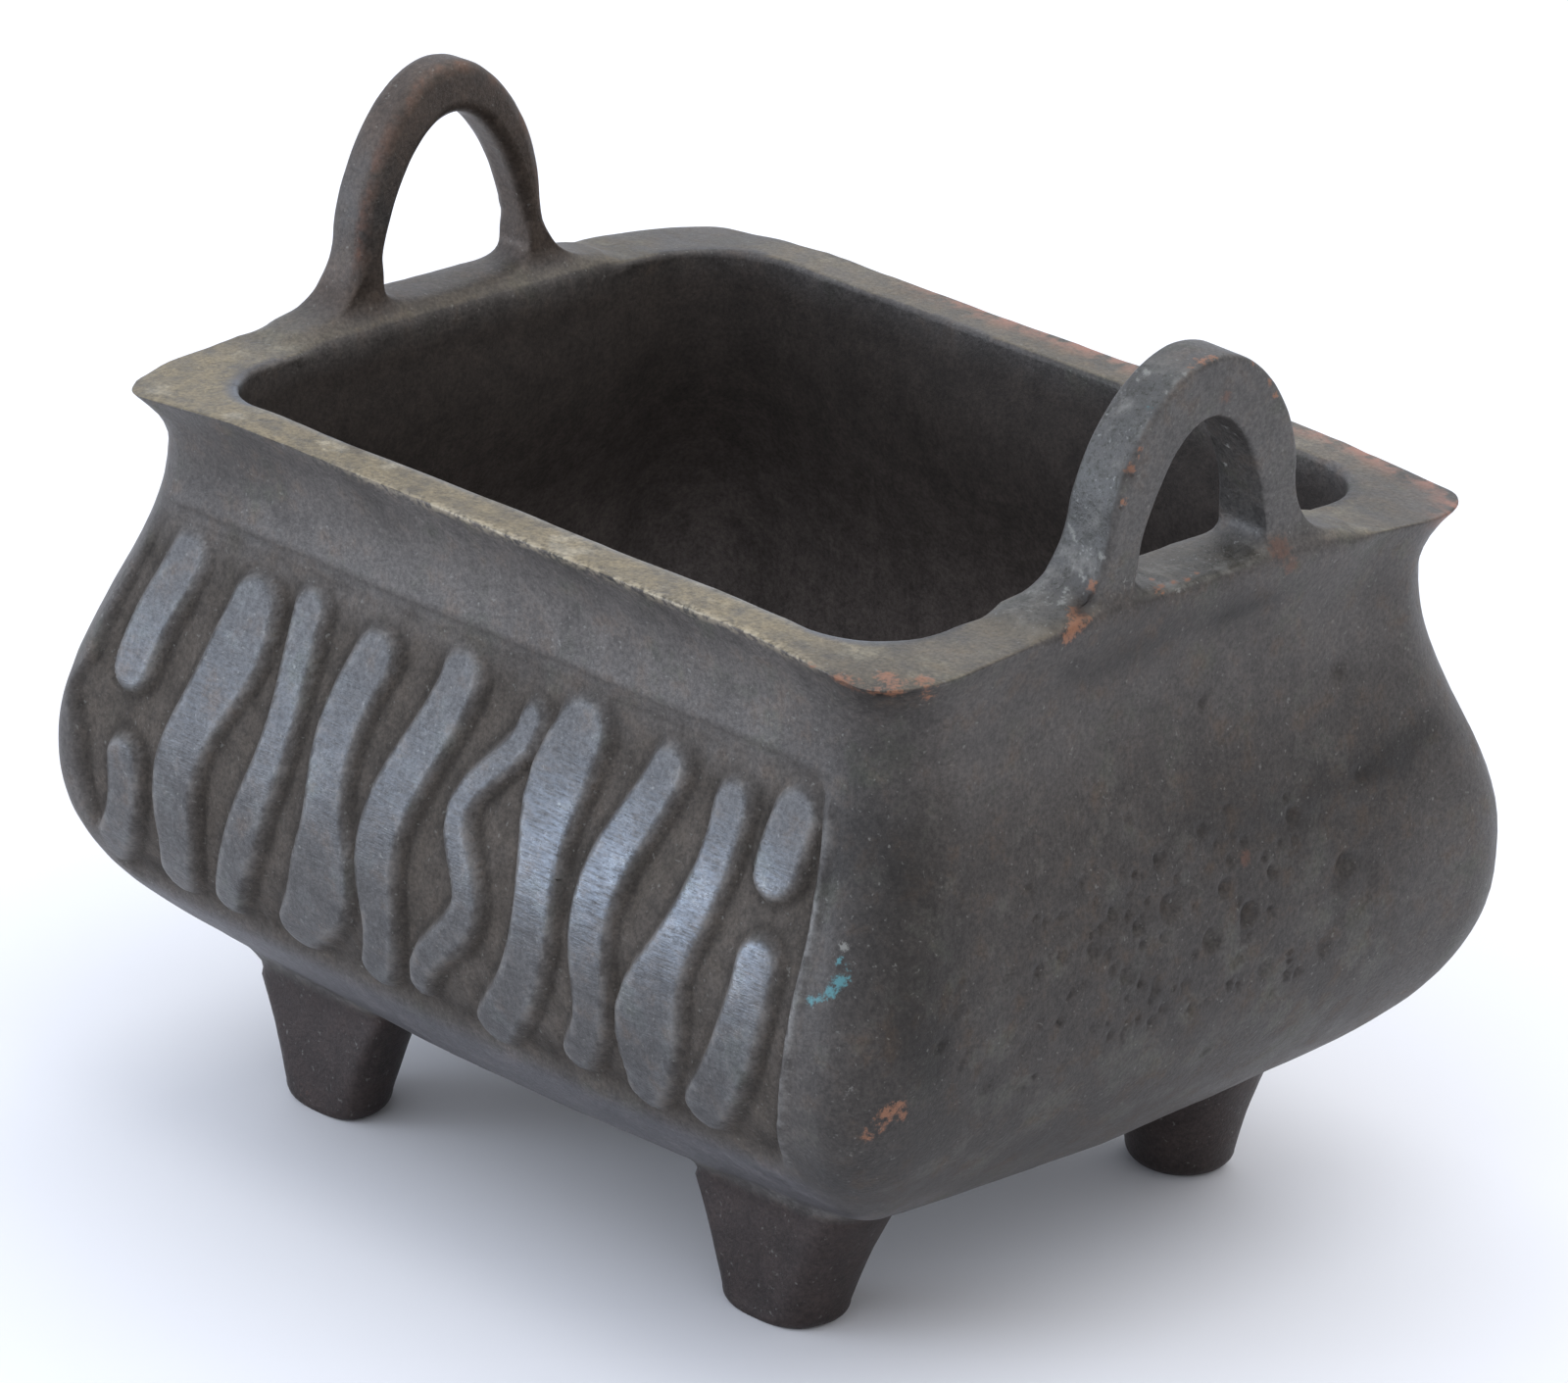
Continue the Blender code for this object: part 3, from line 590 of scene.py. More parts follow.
def skinMesh():
    rows = bodyProfile()
    stretch, share = columnPlan()
    rowCells, columnCells = (len(rows) - 1) // fine, len(stretch) // fine
    columns = len(stretch)

    def place(row, column):
        column = column % columns
        x, y = sectionPoint(stretch[column], share[column], rows[row][..., :6])
        return np.stack([x, y, rows[row][..., 6]], axis=-1)

    r, c = np.meshgrid(np.arange(rowCells), np.arange(columnCells), indexing="ij")
    half = fine // 2
    splits = cellSplits(place(r * fine + half, c * fine + half), rowCells)
    used = np.zeros((len(rows), columns), bool)
    for cell in itertools.product(range(rowCells), range(columnCells)):
        step = fine // splits[cell]
        r0, c0 = cell[0] * fine, cell[1] * fine
        across = np.arange(c0, c0 + fine + 1, step) % columns
        used[np.ix_(np.arange(r0, r0 + fine + 1, step), across)] = True
    index = np.cumsum(used.ravel()).reshape(used.shape) - 1
    faces = []
    for cell in itertools.product(range(rowCells), range(columnCells)):
        step = fine // splits[cell]
        for r0 in range(cell[0] * fine, cell[0] * fine + fine, step):
            for c0 in range(cell[1] * fine, cell[1] * fine + fine, step):
                walk = [(r0, c0 + k) for k in range(step)]
                walk += [(r0 + k, c0 + step) for k in range(step)]
                walk += [(r0 + step, c0 + step - k) for k in range(step)]
                walk += [(r0 + step - k, c0) for k in range(step)]
                faces.append([index[a, b % columns] for a, b in walk if used[a, b % columns]])
    row, column = np.nonzero(used)
    points = place(row, column)
    first = [index[0, k] for k in range(columns) if used[0, k]]
    last = [index[-1, k] for k in range(columns) if used[-1, k]]
    faces += [first[::-1], last]
    return points, faces, row // fine, stretch[column]


def carvedSkin():
    points, faces, row, stretch = skinMesh()
    outer = (row >= carving["rows"][0]) & (row < carving["rows"][1])

    def chosen(which, limits):
        return np.nonzero(outer & which & (points[:, 2] > limits[0]) & (points[:, 2] < limits[1]))[0]

    for side, on in ((-1, 0), (1, 4)):
        skin = chosen(stretch == on, carving["drawn"])
        x, y, z = points[skin].T
        section = outside(z)
        bow = np.abs(y) - section[:, 1]
        x, z = drawnToEdges(x, z, side)
        y = side * (outside(z)[:, 1] + bow)
        points[skin] = np.stack([x, y, z], axis=1)
        around = np.isin(stretch, ((on - 1) % 8, on, on + 1))  # the corners beside it as well
        skin = chosen(around, carving["carved"])
        x, _, z = points[skin].T
        depth = panelDepth(x, z, side)
        if side < 0:
            depth -= borderRise(x, z)
        points[skin, 1] -= side * depth
    x, y, z = points.T.copy()
    wall = np.nonzero(outer & (stretch == 2))[0]
    points[wall, 0] -= pitDepth(y[wall], z[wall])
    points[:, 0] -= np.sign(x) * handleEndPull(x, y, z)
    points[:, 2] -= droop(x, y, z)
    return points, faces


def solidMesh(name, parts):
    # one mesh from several closed shells
    points, faces = [], []
    for shellPoints, shellFaces in parts:
        start = sum(len(p) for p in points)
        points.append(shellPoints)
        faces += [[int(k) + start for k in face] for face in shellFaces]
    mesh = bpy.data.meshes.new(name)
    mesh.from_pydata(np.concatenate(points).tolist(), [], faces)
    shape = bmesh.new()
    shape.from_mesh(mesh)
    bmesh.ops.triangulate(shape, faces=[f for f in shape.faces if len(f.verts) > 4])
    bmesh.ops.recalc_face_normals(shape, faces=shape.faces)
    shape.to_mesh(mesh)
    shape.free()
    return mesh


def newObject(name, shape):
    thing = bpy.data.objects.new(name, shape)
    bpy.context.scene.collection.objects.link(thing)
    return thing


def castTogether(skin, limbs):
    burner = newObject(burnerName + "_bronze", skin)
    other = newObject("limbs", limbs)
    join = burner.modifiers.new("join", "BOOLEAN")
    join.operation = "UNION"
    join.solver = "EXACT"
    join.object = other
    graph = bpy.context.evaluated_depsgraph_get()
    whole = bpy.data.meshes.new_from_object(burner.evaluated_get(graph))
    burner.modifiers.clear()
    burner.data = whole
    bpy.data.objects.remove(other)
    return burner


print("building the body, handles and feet")
limbShells = [handleShell(1), handleShell(-1)]
limbShells += [footShell(a, b) for a, b in itertools.product((-1, 1), repeat=2)]
skin = solidMesh("skin", [carvedSkin()])
limbs = solidMesh("limbs", limbShells)
skinTree = BVHTree.FromPolygons([v.co for v in skin.vertices], [p.vertices[:] for p in skin.polygons])
limbTree = BVHTree.FromPolygons([v.co for v in limbs.vertices], [p.vertices[:] for p in limbs.polygons])
print("joining them into one casting:", len(skin.polygons), "and", len(limbs.polygons), "faces")
burner = castTogether(skin, limbs)


# SURFACE OF THE CASTING
casting = {
    "handleFillet": 3.0, "footFillet": 1.3, "relaxRounds": 16, "relaxShare": 0.6,
    "weld": 0.02, "lastWeld": 0.01,  # how near points are joined
    "sliver": 0.005,  # how thin a face may be
    "joinZone": (58, 34, 24), "footJoin": 3,  # how high, how far out and how wide the handles' joins are
    "wobble": ((11, 0.16, 3), (4.5, 0.06, 4), (1.3, 0.025, 5)),  # lump size, height and seed
    "lipWear": 0.2, "lipWearSize": 3.0, "lipReach": 0.7,
    # flaws in the casting: place, radius and depth
    "flaws": (
        (44.8, -12.5, 64.5, 0.7, 0.9), (45.1, -13.2, 63.7, 0.6, 0.6), (45.2, -8.5, 74.3, 0.45, 0.35),
        (43.3, -32.9, 61.6, 0.6, 0.25), (44.9, -31.4, 61.4, 0.6, 0.25), (41.0, -34.2, 61.5, 0.6, 0.25),
    ),
    "crust": ((0.9, 0.07, 14), (0.5, 0.04, 15)),  # on the right handle's side: lump size, height and seed
}


def readPoints(mesh):
    points = np.zeros(len(mesh.vertices) * 3)
    mesh.vertices.foreach_get("co", points)
    normals = np.zeros(len(mesh.vertices) * 3)
    mesh.vertices.foreach_get("normal", normals)
    return points.reshape(-1, 3), normals.reshape(-1, 3)


def writePoints(mesh, points):
    mesh.vertices.foreach_set("co", points.ravel())
    mesh.update()


def filletJoins(mesh):
    # the casting swells in a round where a handle or a foot meets the body
    points, _ = readPoints(mesh)
    moved = points.copy()
    nearness = np.zeros(len(points))
    x, y, z = np.abs(points.T)
    low, out, wide = casting["joinZone"]
    near = (z > low) & (x > out) & (y < wide)
    atFoot = z < baseZ + casting["footJoin"]
    for k in np.nonzero(near | atFoot)[0]:
        reach = casting["footFillet" if atFoot[k] else "handleFillet"]
        spot = Vector(points[k])
        a, aNormal, _, aAway = skinTree.find_nearest(spot, reach)
        b, bNormal, _, bAway = limbTree.find_nearest(spot, reach)
        if a is None or b is None:
            continue
        away = max(aAway, bAway)
        share = (reach - away) / reach
        nearness[k] = share
        if aAway > 0.05:
            aNormal = (spot - a).normalized()
        if bAway > 0.05:
            bNormal = (spot - b).normalized()
        weight = 0.5 + 0.5 * away / reach
        blend = aNormal * (weight if aAway <= bAway else 1 - weight)
        blend += bNormal * (1 - weight if aAway <= bAway else weight)
        moved[k] += np.array(blend.normalized() * (share * share * reach / 4 / max(blend.length, 0.35)))
    writePoints(mesh, moved)
    return nearness


def relaxed(mesh, weight, rounds):
    # evens out the points near the joins
    edges = np.zeros(len(mesh.edges) * 2, int)
    mesh.edges.foreach_get("vertices", edges)
    a, b = edges.reshape(-1, 2).T
    points, _ = readPoints(mesh)
    count = np.bincount(np.concatenate([a, b]), minlength=len(points))
    for _ in range(rounds):
        total = np.zeros_like(points)
        np.add.at(total, a, points[b])
        np.add.at(total, b, points[a])
        points += (total / np.maximum(count, 1)[:, None] - points) * weight[:, None]
    writePoints(mesh, points)


def within(x, y, section):
    # how far inside a section a point is, less than 0 outside it
    halfX, halfY, along, across = (section[..., k] for k in range(4))
    outX, outY = np.abs(x) - (halfX - along), np.abs(y) - (halfY - across)
    corner = np.hypot(np.maximum(outX, 0) / along, np.maximum(outY, 0) / across)
    straight = np.minimum(halfX - np.abs(x), halfY - np.abs(y))
    return np.where((outX > 0) & (outY > 0), (1 - corner) * (along + across) / 2, straight)


def edgeNearness(points, section, reach):
    # 1 on an edge of the rim, the outer one or the opening's, fading out within the reach
    x, y, z = points.T
    fromEdge = within(x, y, np.asarray(body[section]))
    fromTop = rimZ - droop(x, y, np.full(len(x), rimZ)) - z
    return bell(np.maximum(np.abs(fromEdge), np.abs(fromTop)), 0, reach)


# where finishes and roughness fade in along an axis: from 0 at the first place to 1 at the second,
# or with a share, from 1 less that share
regions = {
    "frontStrut": (("y", 0, -4), ("y", -20, -16), ("x", 38, 40), ("z", rimZ - 0.6, rimZ + 0.6)),
    "sill": (("x", 40, 41.5), ("z", rimZ - 0.8, rimZ - 0.2), ("z", rimZ + 2.2, rimZ + 1.2)),
    "lipWear": (("y", -24, -32, 0.75),),
    "aboveGround": (("z", 0.2, 1.5),),
    "borderEnd": (("x", 38, 40),),
    "rightWall": (("x", 40, 43),),
    "inner": (("z", rimZ - 0.2, rimZ - 3),),
    "deep": (("z", rimZ - 4, rimZ - 34),),
    "rimTop": (
        ("z", rimZ - 1.8, rimZ - 0.8), ("z", rimZ + 2, rimZ), ("x", 40, 30, 0.65), ("y", 30, 18, 0.6),
    ),
    "leftBack": (("x", -34, -38), ("y", -26, -18)),
    "leftShade": (("x", -33, -37), ("y", -24, -16), ("z", rimZ - 1.2, rimZ - 0.6)),
    "stainAndShade": (("x", 37, 41),),
    "sheen": (("x", 2, 14, 0.7), ("x", 39, 35)),
    "cleft": (("y", 0, -3), ("z", rimZ + 15, rimZ + 11)),
    "lip": (("y", -27, -32), ("x", -24, -12), ("x", 40, 34)),
    "farLip": (("y", 27, 32), ("x", -24, -10)),
    "openingEdgeGlint": (("y", -24, -29),),
    "foot": (("z", baseZ, baseZ - 1.2),),
    "handle": (("z", rimZ + 0.3, rimZ + 2.5),),
    "warm": (("x", -34, -38), ("z", rimZ, rimZ + 3)),
    # painted shade: the right end's wall is darker, less so near its top and towards its far side
    "end": (("x", 40, 45), ("z", baseZ, baseZ + 6), ("z", 54, 46, 0.7), ("y", 32, 22, 0.6)),
    "paintedLightBelowPanel": (("y", -20, -23), ("z", baseZ, baseZ + 1.5), ("z", 20, 17.5), ("x", 43, 36)),
}


def region(points, name):
    value = np.ones(len(points))
    for axis, low, high, *share in regions[name]:
        value *= 1 - (share[0] if share else 1) * (1 - ease(low, high, points[:, "xyz".index(axis)]))
    return value


def crustField(points, normals):
    # 1 on the front side of the right handle's front strut, on the rim beside it and on the hole's sill
    strut = region(points, "frontStrut") * ease(0.55, 0.2, np.abs(normals[:, 0]))
    sill = region(points, "sill") * ease(9, 7, np.abs(points[:, 1] - 0.8)) * ease(0.3, 0.7, normals[:, 2])
    return np.maximum(strut, sill)


def roughCast(mesh):
    points, normals = readPoints(mesh)
    offset = np.zeros(len(points))
    for size, height, seed in casting["wobble"]:
        offset += height * lumps(points, size, seed)
    worn = np.maximum(0, lumps(points, casting["lipWearSize"], 8) + 0.3 * lumps(points, 1.1, 9))
    lip = edgeNearness(points, "rim", casting["lipReach"]) * region(points, "lipWear")
    offset -= casting["lipWear"] * lip * (0.4 + worn)
    crusted = crustField(points, normals)
    for size, height, seed in casting["crust"]:
        offset += height * crusted * lumps(points, size, seed)
    for x, y, z, radius, deep in casting["flaws"]:
        offset -= deep * bell(np.linalg.norm(points - (x, y, z), axis=1), 0, radius)
    offset *= region(points, "aboveGround")  # the feet stay flat underneath
    writePoints(mesh, points + normals * offset[:, None])


def cleaned(mesh, weld):
    # welds points that nearly meet, and counts triangles and edges that haven't two faces
    shape = bmesh.new()
    shape.from_mesh(mesh)
    bmesh.ops.remove_doubles(shape, verts=shape.verts, dist=weld)
    bmesh.ops.dissolve_degenerate(shape, edges=shape.edges, dist=casting["sliver"])
    bmesh.ops.recalc_face_normals(shape, faces=shape.faces)
    for face in shape.faces:
        face.smooth = True
    triangles = sum(len(face.verts) - 2 for face in shape.faces)
    openEdges = sum(1 for edge in shape.edges if len(edge.link_faces) != 2)
    shape.to_mesh(mesh)
    shape.free()
    return triangles, openEdges


cleaned(burner.data, casting["weld"])
nearness = filletJoins(burner.data)
relaxed(burner.data, casting["relaxShare"] * ease(0, 0.5, nearness), casting["relaxRounds"])
roughCast(burner.data)
triangles, openEdges = cleaned(burner.data, casting["lastWeld"])
print("one casting of", triangles, "triangles, open or doubled edges:", openEdges)


# MARKS ON THE SURFACE
# each mark is its place and its radius
marks = {
    "chips": (
        (40.1, -34.7, 62.0, 0.95), (43.0, -33.7, 61.7, 0.7), (42.2, -31.9, 62.2, 1.0),
        (44.2, -33.0, 61.5, 0.85), (44.6, -30.1, 62.1, 1.0), (44.9, -29.7, 60.9, 0.6),
        (36.9, -34.8, 62.2, 0.4), (43.5, -32.2, 61.9, 0.7), (41.4, -34.3, 61.7, 0.6),
        (45.2, -13.4, 63.6, 1.0), (45.7, -14.2, 63.3, 0.9), (46.0, -14.9, 63.1, 0.8),
        (46.1, -15.6, 62.6, 0.7), (44.7, -11.7, 65.6, 0.6), (44.9, -3.6, 63.7, 0.5),
        (44.9, -2.1, 63.7, 0.5), (45.1, -0.7, 63.6, 0.4), (44.6, 0.9, 63.6, 0.45),
        (45.3, -7.6, 76.0, 0.4), (45.3, -8.4, 74.7, 0.6), (45.2, -9.1, 72.1, 0.46),
        (44.8, -0.5, 81.9, 0.62), (44.9, 0.6, 81.9, 0.54), (44.7, -1.8, 81.5, 0.4),
        (45.4, 7.3, 78.5, 0.4), (45.4, 8.0, 77.2, 0.4), (45.2, 5.2, 80.5, 0.35), (43.6, -3.3, 63.7, 0.4),
        (45.5, -4.6, 63.6, 0.5), (48.4, -35.6, 28.4, 0.8), (48.6, -34.7, 28.8, 0.8),
        (47.9, -36.2, 27.4, 0.8), (47.6, -36.8, 26.5, 0.7), (47.8, -37.2, 25.8, 0.5),
        (48.7, -34.2, 27.9, 0.5),
    ),
    "verdigris": (
        (44.1, -37.4, 40.4, 0.5), (44.9, -37.1, 39.9, 0.5), (44.4, -37.8, 38.9, 0.6),
        (44.1, -38.3, 38.1, 0.65), (43.3, -38.7, 37.4, 0.4), (42.5, -38.9, 36.9, 0.5),
        (45.5, -38.3, 36.6, 0.4), (47.1, -37.3, 35.7, 0.4), (44.5, -5.8, 78.9, 0.4),
    ),
    "dust": (
        (43.9, -36.8, 41.4, 0.46), (45.8, -38.0, 36.9, 0.25), (46.6, -38.6, 30.8, 0.25),
        (43.8, -37.4, 22.2, 0.25), (43.8, -32.3, 18.1, 0.25), (48.6, -30.3, 37.0, 0.25),
        (45.2, -8.2, 65.3, 0.3), (45.3, -3.3, 77.6, 0.25), (41.1, 6.2, 72.4, 0.25),
        (42.4, 6.2, 72.5, 0.3), (43.4, 4.7, 74.7, 0.25), (43.8, 5.1, 74.2, 0.25), (43.5, 6.0, 72.9, 0.25),
        (41.6, 7.2, 70.4, 0.3), (40.9, 8.1, 67.4, 0.3), (42.6, 8.2, 67.1, 0.25), (44.6, 0.1, 63.6, 0.3),
        (44.9, 1.3, 63.6, 0.3), (44.5, -4.3, 63.7, 0.3), (45.4, -3.5, 63.6, 0.3), (45.8, -2.6, 63.4, 0.3),
        (43.6, 4.7, 63.6, 0.3), (43.3, 7.0, 63.8, 0.3), (42.0, -3.6, 80.7, 0.54), (41.6, -4.3, 80.3, 0.4),
        (44.6, -3.1, 81.0, 0.4), (44.9, -4.4, 80.1, 0.3), (41.3, -10.3, 68.6, 0.4),
        (40.6, -10.1, 69.1, 0.3), (42.7, -10.6, 67.8, 0.46), (44.7, -10.5, 67.7, 0.4),
        (42.9, -11.3, 66.2, 0.3), (43.9, -11.5, 65.8, 0.4), (43.2, -12.6, 64.7, 0.54),
        (43.5, -13.5, 64.2, 0.54), (43.1, -14.4, 63.9, 0.46), (41.7, -14.5, 63.9, 0.4),
        (42.3, -16.0, 63.6, 0.46),
    ),
    "blots": (
        (45.4, 2.2, 78.4, 0.7), (45.5, 9.6, 63.8, 1.25), (46.1, 10.6, 62.3, 0.94), (48.1, 5.0, 39.2, 0.8),
        (-27.8, -27.9, 1.5, 1.17),
    ),
    # painted shade inside the casting's flaws
    "cavityShade": (
        (44.8, -12.2, 64.9, 0.6), (44.8, -12.6, 64.3, 0.75), (45.1, -13.1, 63.8, 0.6),
        (45.2, -8.3, 74.1, 0.35), (45.3, -9.2, 71.7, 0.35), (43.2, -33.3, 61.3, 0.4),
        (44.7, -31.4, 61.2, 0.4), (41.2, -34.4, 61.4, 0.35),
    ),
}
stainsAndShade = {
    # on the right end, stains and painted shade: place along Y and height, reach each way, and strength;
    # the spots at -33, -32 and -36 are a painted dark band along the near corner, and those at -9 and 5 by
    # the rim are painted shadow under the handle
    "spots": (
        (25, 43.3, 6, 1.8, 1.0), (22, 42.4, 3, 1.1, 0.9), (28, 44.4, 2.5, 1.4, 0.9),
        (10, 42.4, 18, 2.2, 0.5), (-33, 48, 4.5, 10, 0.8), (16, 44, 20, 8, 0.25), (-8, 30, 14, 7, 0.3),
        (-32, 32, 6, 8, 0.9), (-36, 22, 6, 6, 0.5), (-9, 58.6, 6, 1.4, 0.8), (5, 59.6, 6, 1.3, 0.8),
        (2, 53, 9, 2, 0.3), (-20, 56, 5, 3, 0.4), (14, 37, 9, 4, 0.35),
    ),
    "leftShade": 0.36,  # the strength over the left handle and the rim beside it
}


def handleEdge(points, normals, side):
    # 1 along the outer edge of a handle's face that is seen from the right
    x, y, z = points.T
    g = handles["glint"]
    fromHole = np.stack([y - g["middle"][0], z - rimZ - g["middle"][1]], axis=1)
    fromHole /= np.linalg.norm(fromHole, axis=1)[:, None]
    outward = (normals[:, 1:] * fromHole).sum(axis=1)
    onHandle = (x * side > g["out"]) * ease(rimZ + 1, rimZ + 3, z)
    return bell(normals[:, 0], *g["right"]) * ease(*g["outward"], outward) * onHandle


def spotField(points, spots):
    # 1 at a mark's middle and 0 at twice its radius
    value = np.zeros(len(points))
    for x, y, z, radius in spots:
        away = np.linalg.norm(points - (x, y, z), axis=1) / radius
        value = np.maximum(value, 1 - away / 2)
    return value


def surfaceMarks(mesh):
    points, normals = readPoints(mesh)
    x, y, z = points.T
    inner = (within(x, y, inside(z)) > -0.7) & (z > floorZ - 0.7) & (z < rimZ - 0.1)
    ground, stroke, edge, creviceShadeAndMottle, stainAndShade = np.zeros((5, len(x)))
    for side in (-1, 1):
        skin = np.nonzero((y * side > 24) & ~inner & (z > 16) & (z < 55))[0]
        ground[skin] = panelDepth(x[skin], z[skin], side) / panels["depth"]
        fromEnd = panelInside(x[skin], z[skin])
        away = strokeDistance(x[skin], z[skin], side)
        stroke[skin] = ease(0.1, -0.4, away) * ease(0, 0.6, fromEnd)
        # the strokes' shoulders and the front panel's right border are lighter: partly worn metal, partly a
        # painted highlight
        edge[skin] = bell(np.minimum(away + 0.3, 0), 0, 0.4) * ease(0.3, 0, away) * (fromEnd > 0)
        atEnd = bell(fromEnd, -0.4, 0.45) * region(points[skin], "borderEnd") * (side < 0)
        edge[skin] = np.maximum(edge[skin] * 0.45, atEnd)
        # painted shade: the ground is darkened along the feet of the strokes and of the panel's ends, and
        # in a thin line along the groove at the panel's top
        foot = np.minimum(away, fromEnd)
        spread = panels["spread"][side]
        creviceShadeAndMottle[skin] = bell(foot, panels["wall"] * spread, 0.4) * ground[skin] / spread
        line = bell(z[skin], panels["high"] + 0.15, 0.24) * (fromEnd > -0.7)
        creviceShadeAndMottle[skin] = np.maximum(creviceShadeAndMottle[skin], line)
    # painted highlight: a light line along the base's edge
    edge = np.maximum(edge, 0.6 * bell(z, baseZ + 0.3, 0.5))
    # painted shade: the pits in the right end's wall are darkened by their depth
    pitShade = pitDepth(y, z) / 0.5 * region(points, "rightWall") * (z < neckZ)
    # painted shade: the rim's top is less golden at the back-left, beside the left handle
    golden = region(points, "rimTop") * (1 - 0.6 * region(points, "leftBack"))
    # stains, with painted shade along the near corner and under the right handle
    for place, height, reachY, reachZ, strength in stainsAndShade["spots"]:
        stainAndShade += strength * bell(y, place, reachY) * bell(z, height, reachZ)
    stainAndShade *= region(points, "stainAndShade") * (0.75 + 0.5 * lumps(points, 3.5, 31))
    stainAndShade += stainsAndShade["leftShade"] * region(points, "leftShade")
    # painted shade: a dark line along the right handle's edge that is seen from the right
    cleft = handleEdge(points, normals, 1) * region(points, "cleft")
    creviceShadeAndMottle = np.maximum(creviceShadeAndMottle, cleft * (0.7 + 0.5 * lumps(points, 1.4, 33)))
    values = {
        "ground": ground,
        "stroke": stroke,
        "edge": edge,
        "creviceShadeAndMottle": creviceShadeAndMottle,
        "inner": inner * region(points, "inner"),
        # painted light: the hollow's walls and floor are painted lighter the deeper they lie
        "deep": inner * region(points, "deep"),
        "rimTop": ease(0.5, 0.9, normals[:, 2]) * golden * ~inner,
        "lip": edgeNearness(points, "rim", 0.55) * region(points, "lip") * ~inner,
        "farLip": edgeNearness(points, "rim", 1.8) * region(points, "farLip") * ~inner,
        # painted highlight: a bluish line along the opening's edge at the front
        "openingEdgeGlint": edgeNearness(points, "opening", 0.7) * region(points, "openingEdgeGlint"),
        "foot": region(points, "foot"),
        "handle": region(points, "handle") * (np.abs(x) > 36),
        "warm": region(points, "warm"),
        # a copper line along the left handle's edge that faces right: worn metal, painted as a glint where
        # that edge catches the light
        "worn": handleEdge(points, normals, -1),
        # where the casting's flaws are painted with shade
        "flaw": spotField(points, [flaw[:4] for flaw in casting["flaws"]]),
        # painted highlight: a pale bluish sheen on the front strokes around the height where the wall tilts
        # up, which also has lower roughness and more metal
        "polishAndPaintedSheen": stroke * bell(z, 39.5, 6) * region(points, "sheen") * (y < 0),
        "deposit": crustField(points, normals),
        # painted shade on the right end's wall
        "end": region(points, "end"),
        # painted light: a lighter bluish band on the front between the panel and the base's edge
        "paintedLightBelowPanel": region(points, "paintedLightBelowPanel"),
        "stainAndShade": np.clip(stainAndShade, 0, 1),
        "pitShade": np.clip(pitShade, 0, 1),
    }
    for name, spots in marks.items():
        values[name] = spotField(points, spots)
    for name, value in values.items():
        layer = mesh.attributes.new(name, "FLOAT", "POINT")
        layer.data.foreach_set("value", np.asarray(value, np.float32))
    return list(values)


surfaceFields = surfaceMarks(burner.data)
burner.data.transform(Matrix.Scale(mm, 4))
print("surface marks placed")


# FINISHES
def seen(red, green, blue):
    # a colour as it is seen on a screen, 0 to 255, for a shader
    values = [v / 255 for v in (red, green, blue)]
    return tuple(v / 12.92 if v <= 0.04045 else ((v + 0.055) / 1.055) ** 2.4 for v in values) + (1.0,)


class Nodes:
    # makes the nodes of one tree, with their inputs joined or filled
    def __init__(self, tree):
        self.tree = tree

    def feed(self, socket, value):
        if isinstance(value, bpy.types.NodeSocket):
            self.tree.links.new(value, socket)
        else:
            socket.default_value = value

    def add(self, kind, inputs, **settings):
        made = self.tree.nodes.new("ShaderNode" + kind)
        for name, value in settings.items():
            setattr(made, name, value)
        for name, value in inputs.items():
            self.feed(made.inputs[name], value)
        return made.outputs

    def colour(self, factor, first, second):
        return self.add("Mix", {0: factor, 6: first, 7: second}, data_type="RGBA")[2]

    def mixed(self, factor, first, second):
        return self.add("Mix", {0: factor, 2: first, 3: second})[0]

    def math(self, kind, *values):
        return self.add("Math", dict(enumerate(values)), operation=kind)[0]

    def ramp(self, value, low, high, first=0.0, last=1.0):
        values = dict(enumerate((value, low, high, first, last)))
        return self.add("MapRange", values, interpolation_type="SMOOTHSTEP")[0]

    def noise(self, where, size, detail, rough):
        inputs = {"Vector": where, "Scale": 1 / (size * mm), "Detail": detail, "Roughness": rough}
        return self.add("TexNoise", inputs)[0]

    def field(self, name):
        return self.add("Attribute", {}, attribute_name=name)["Fac"]


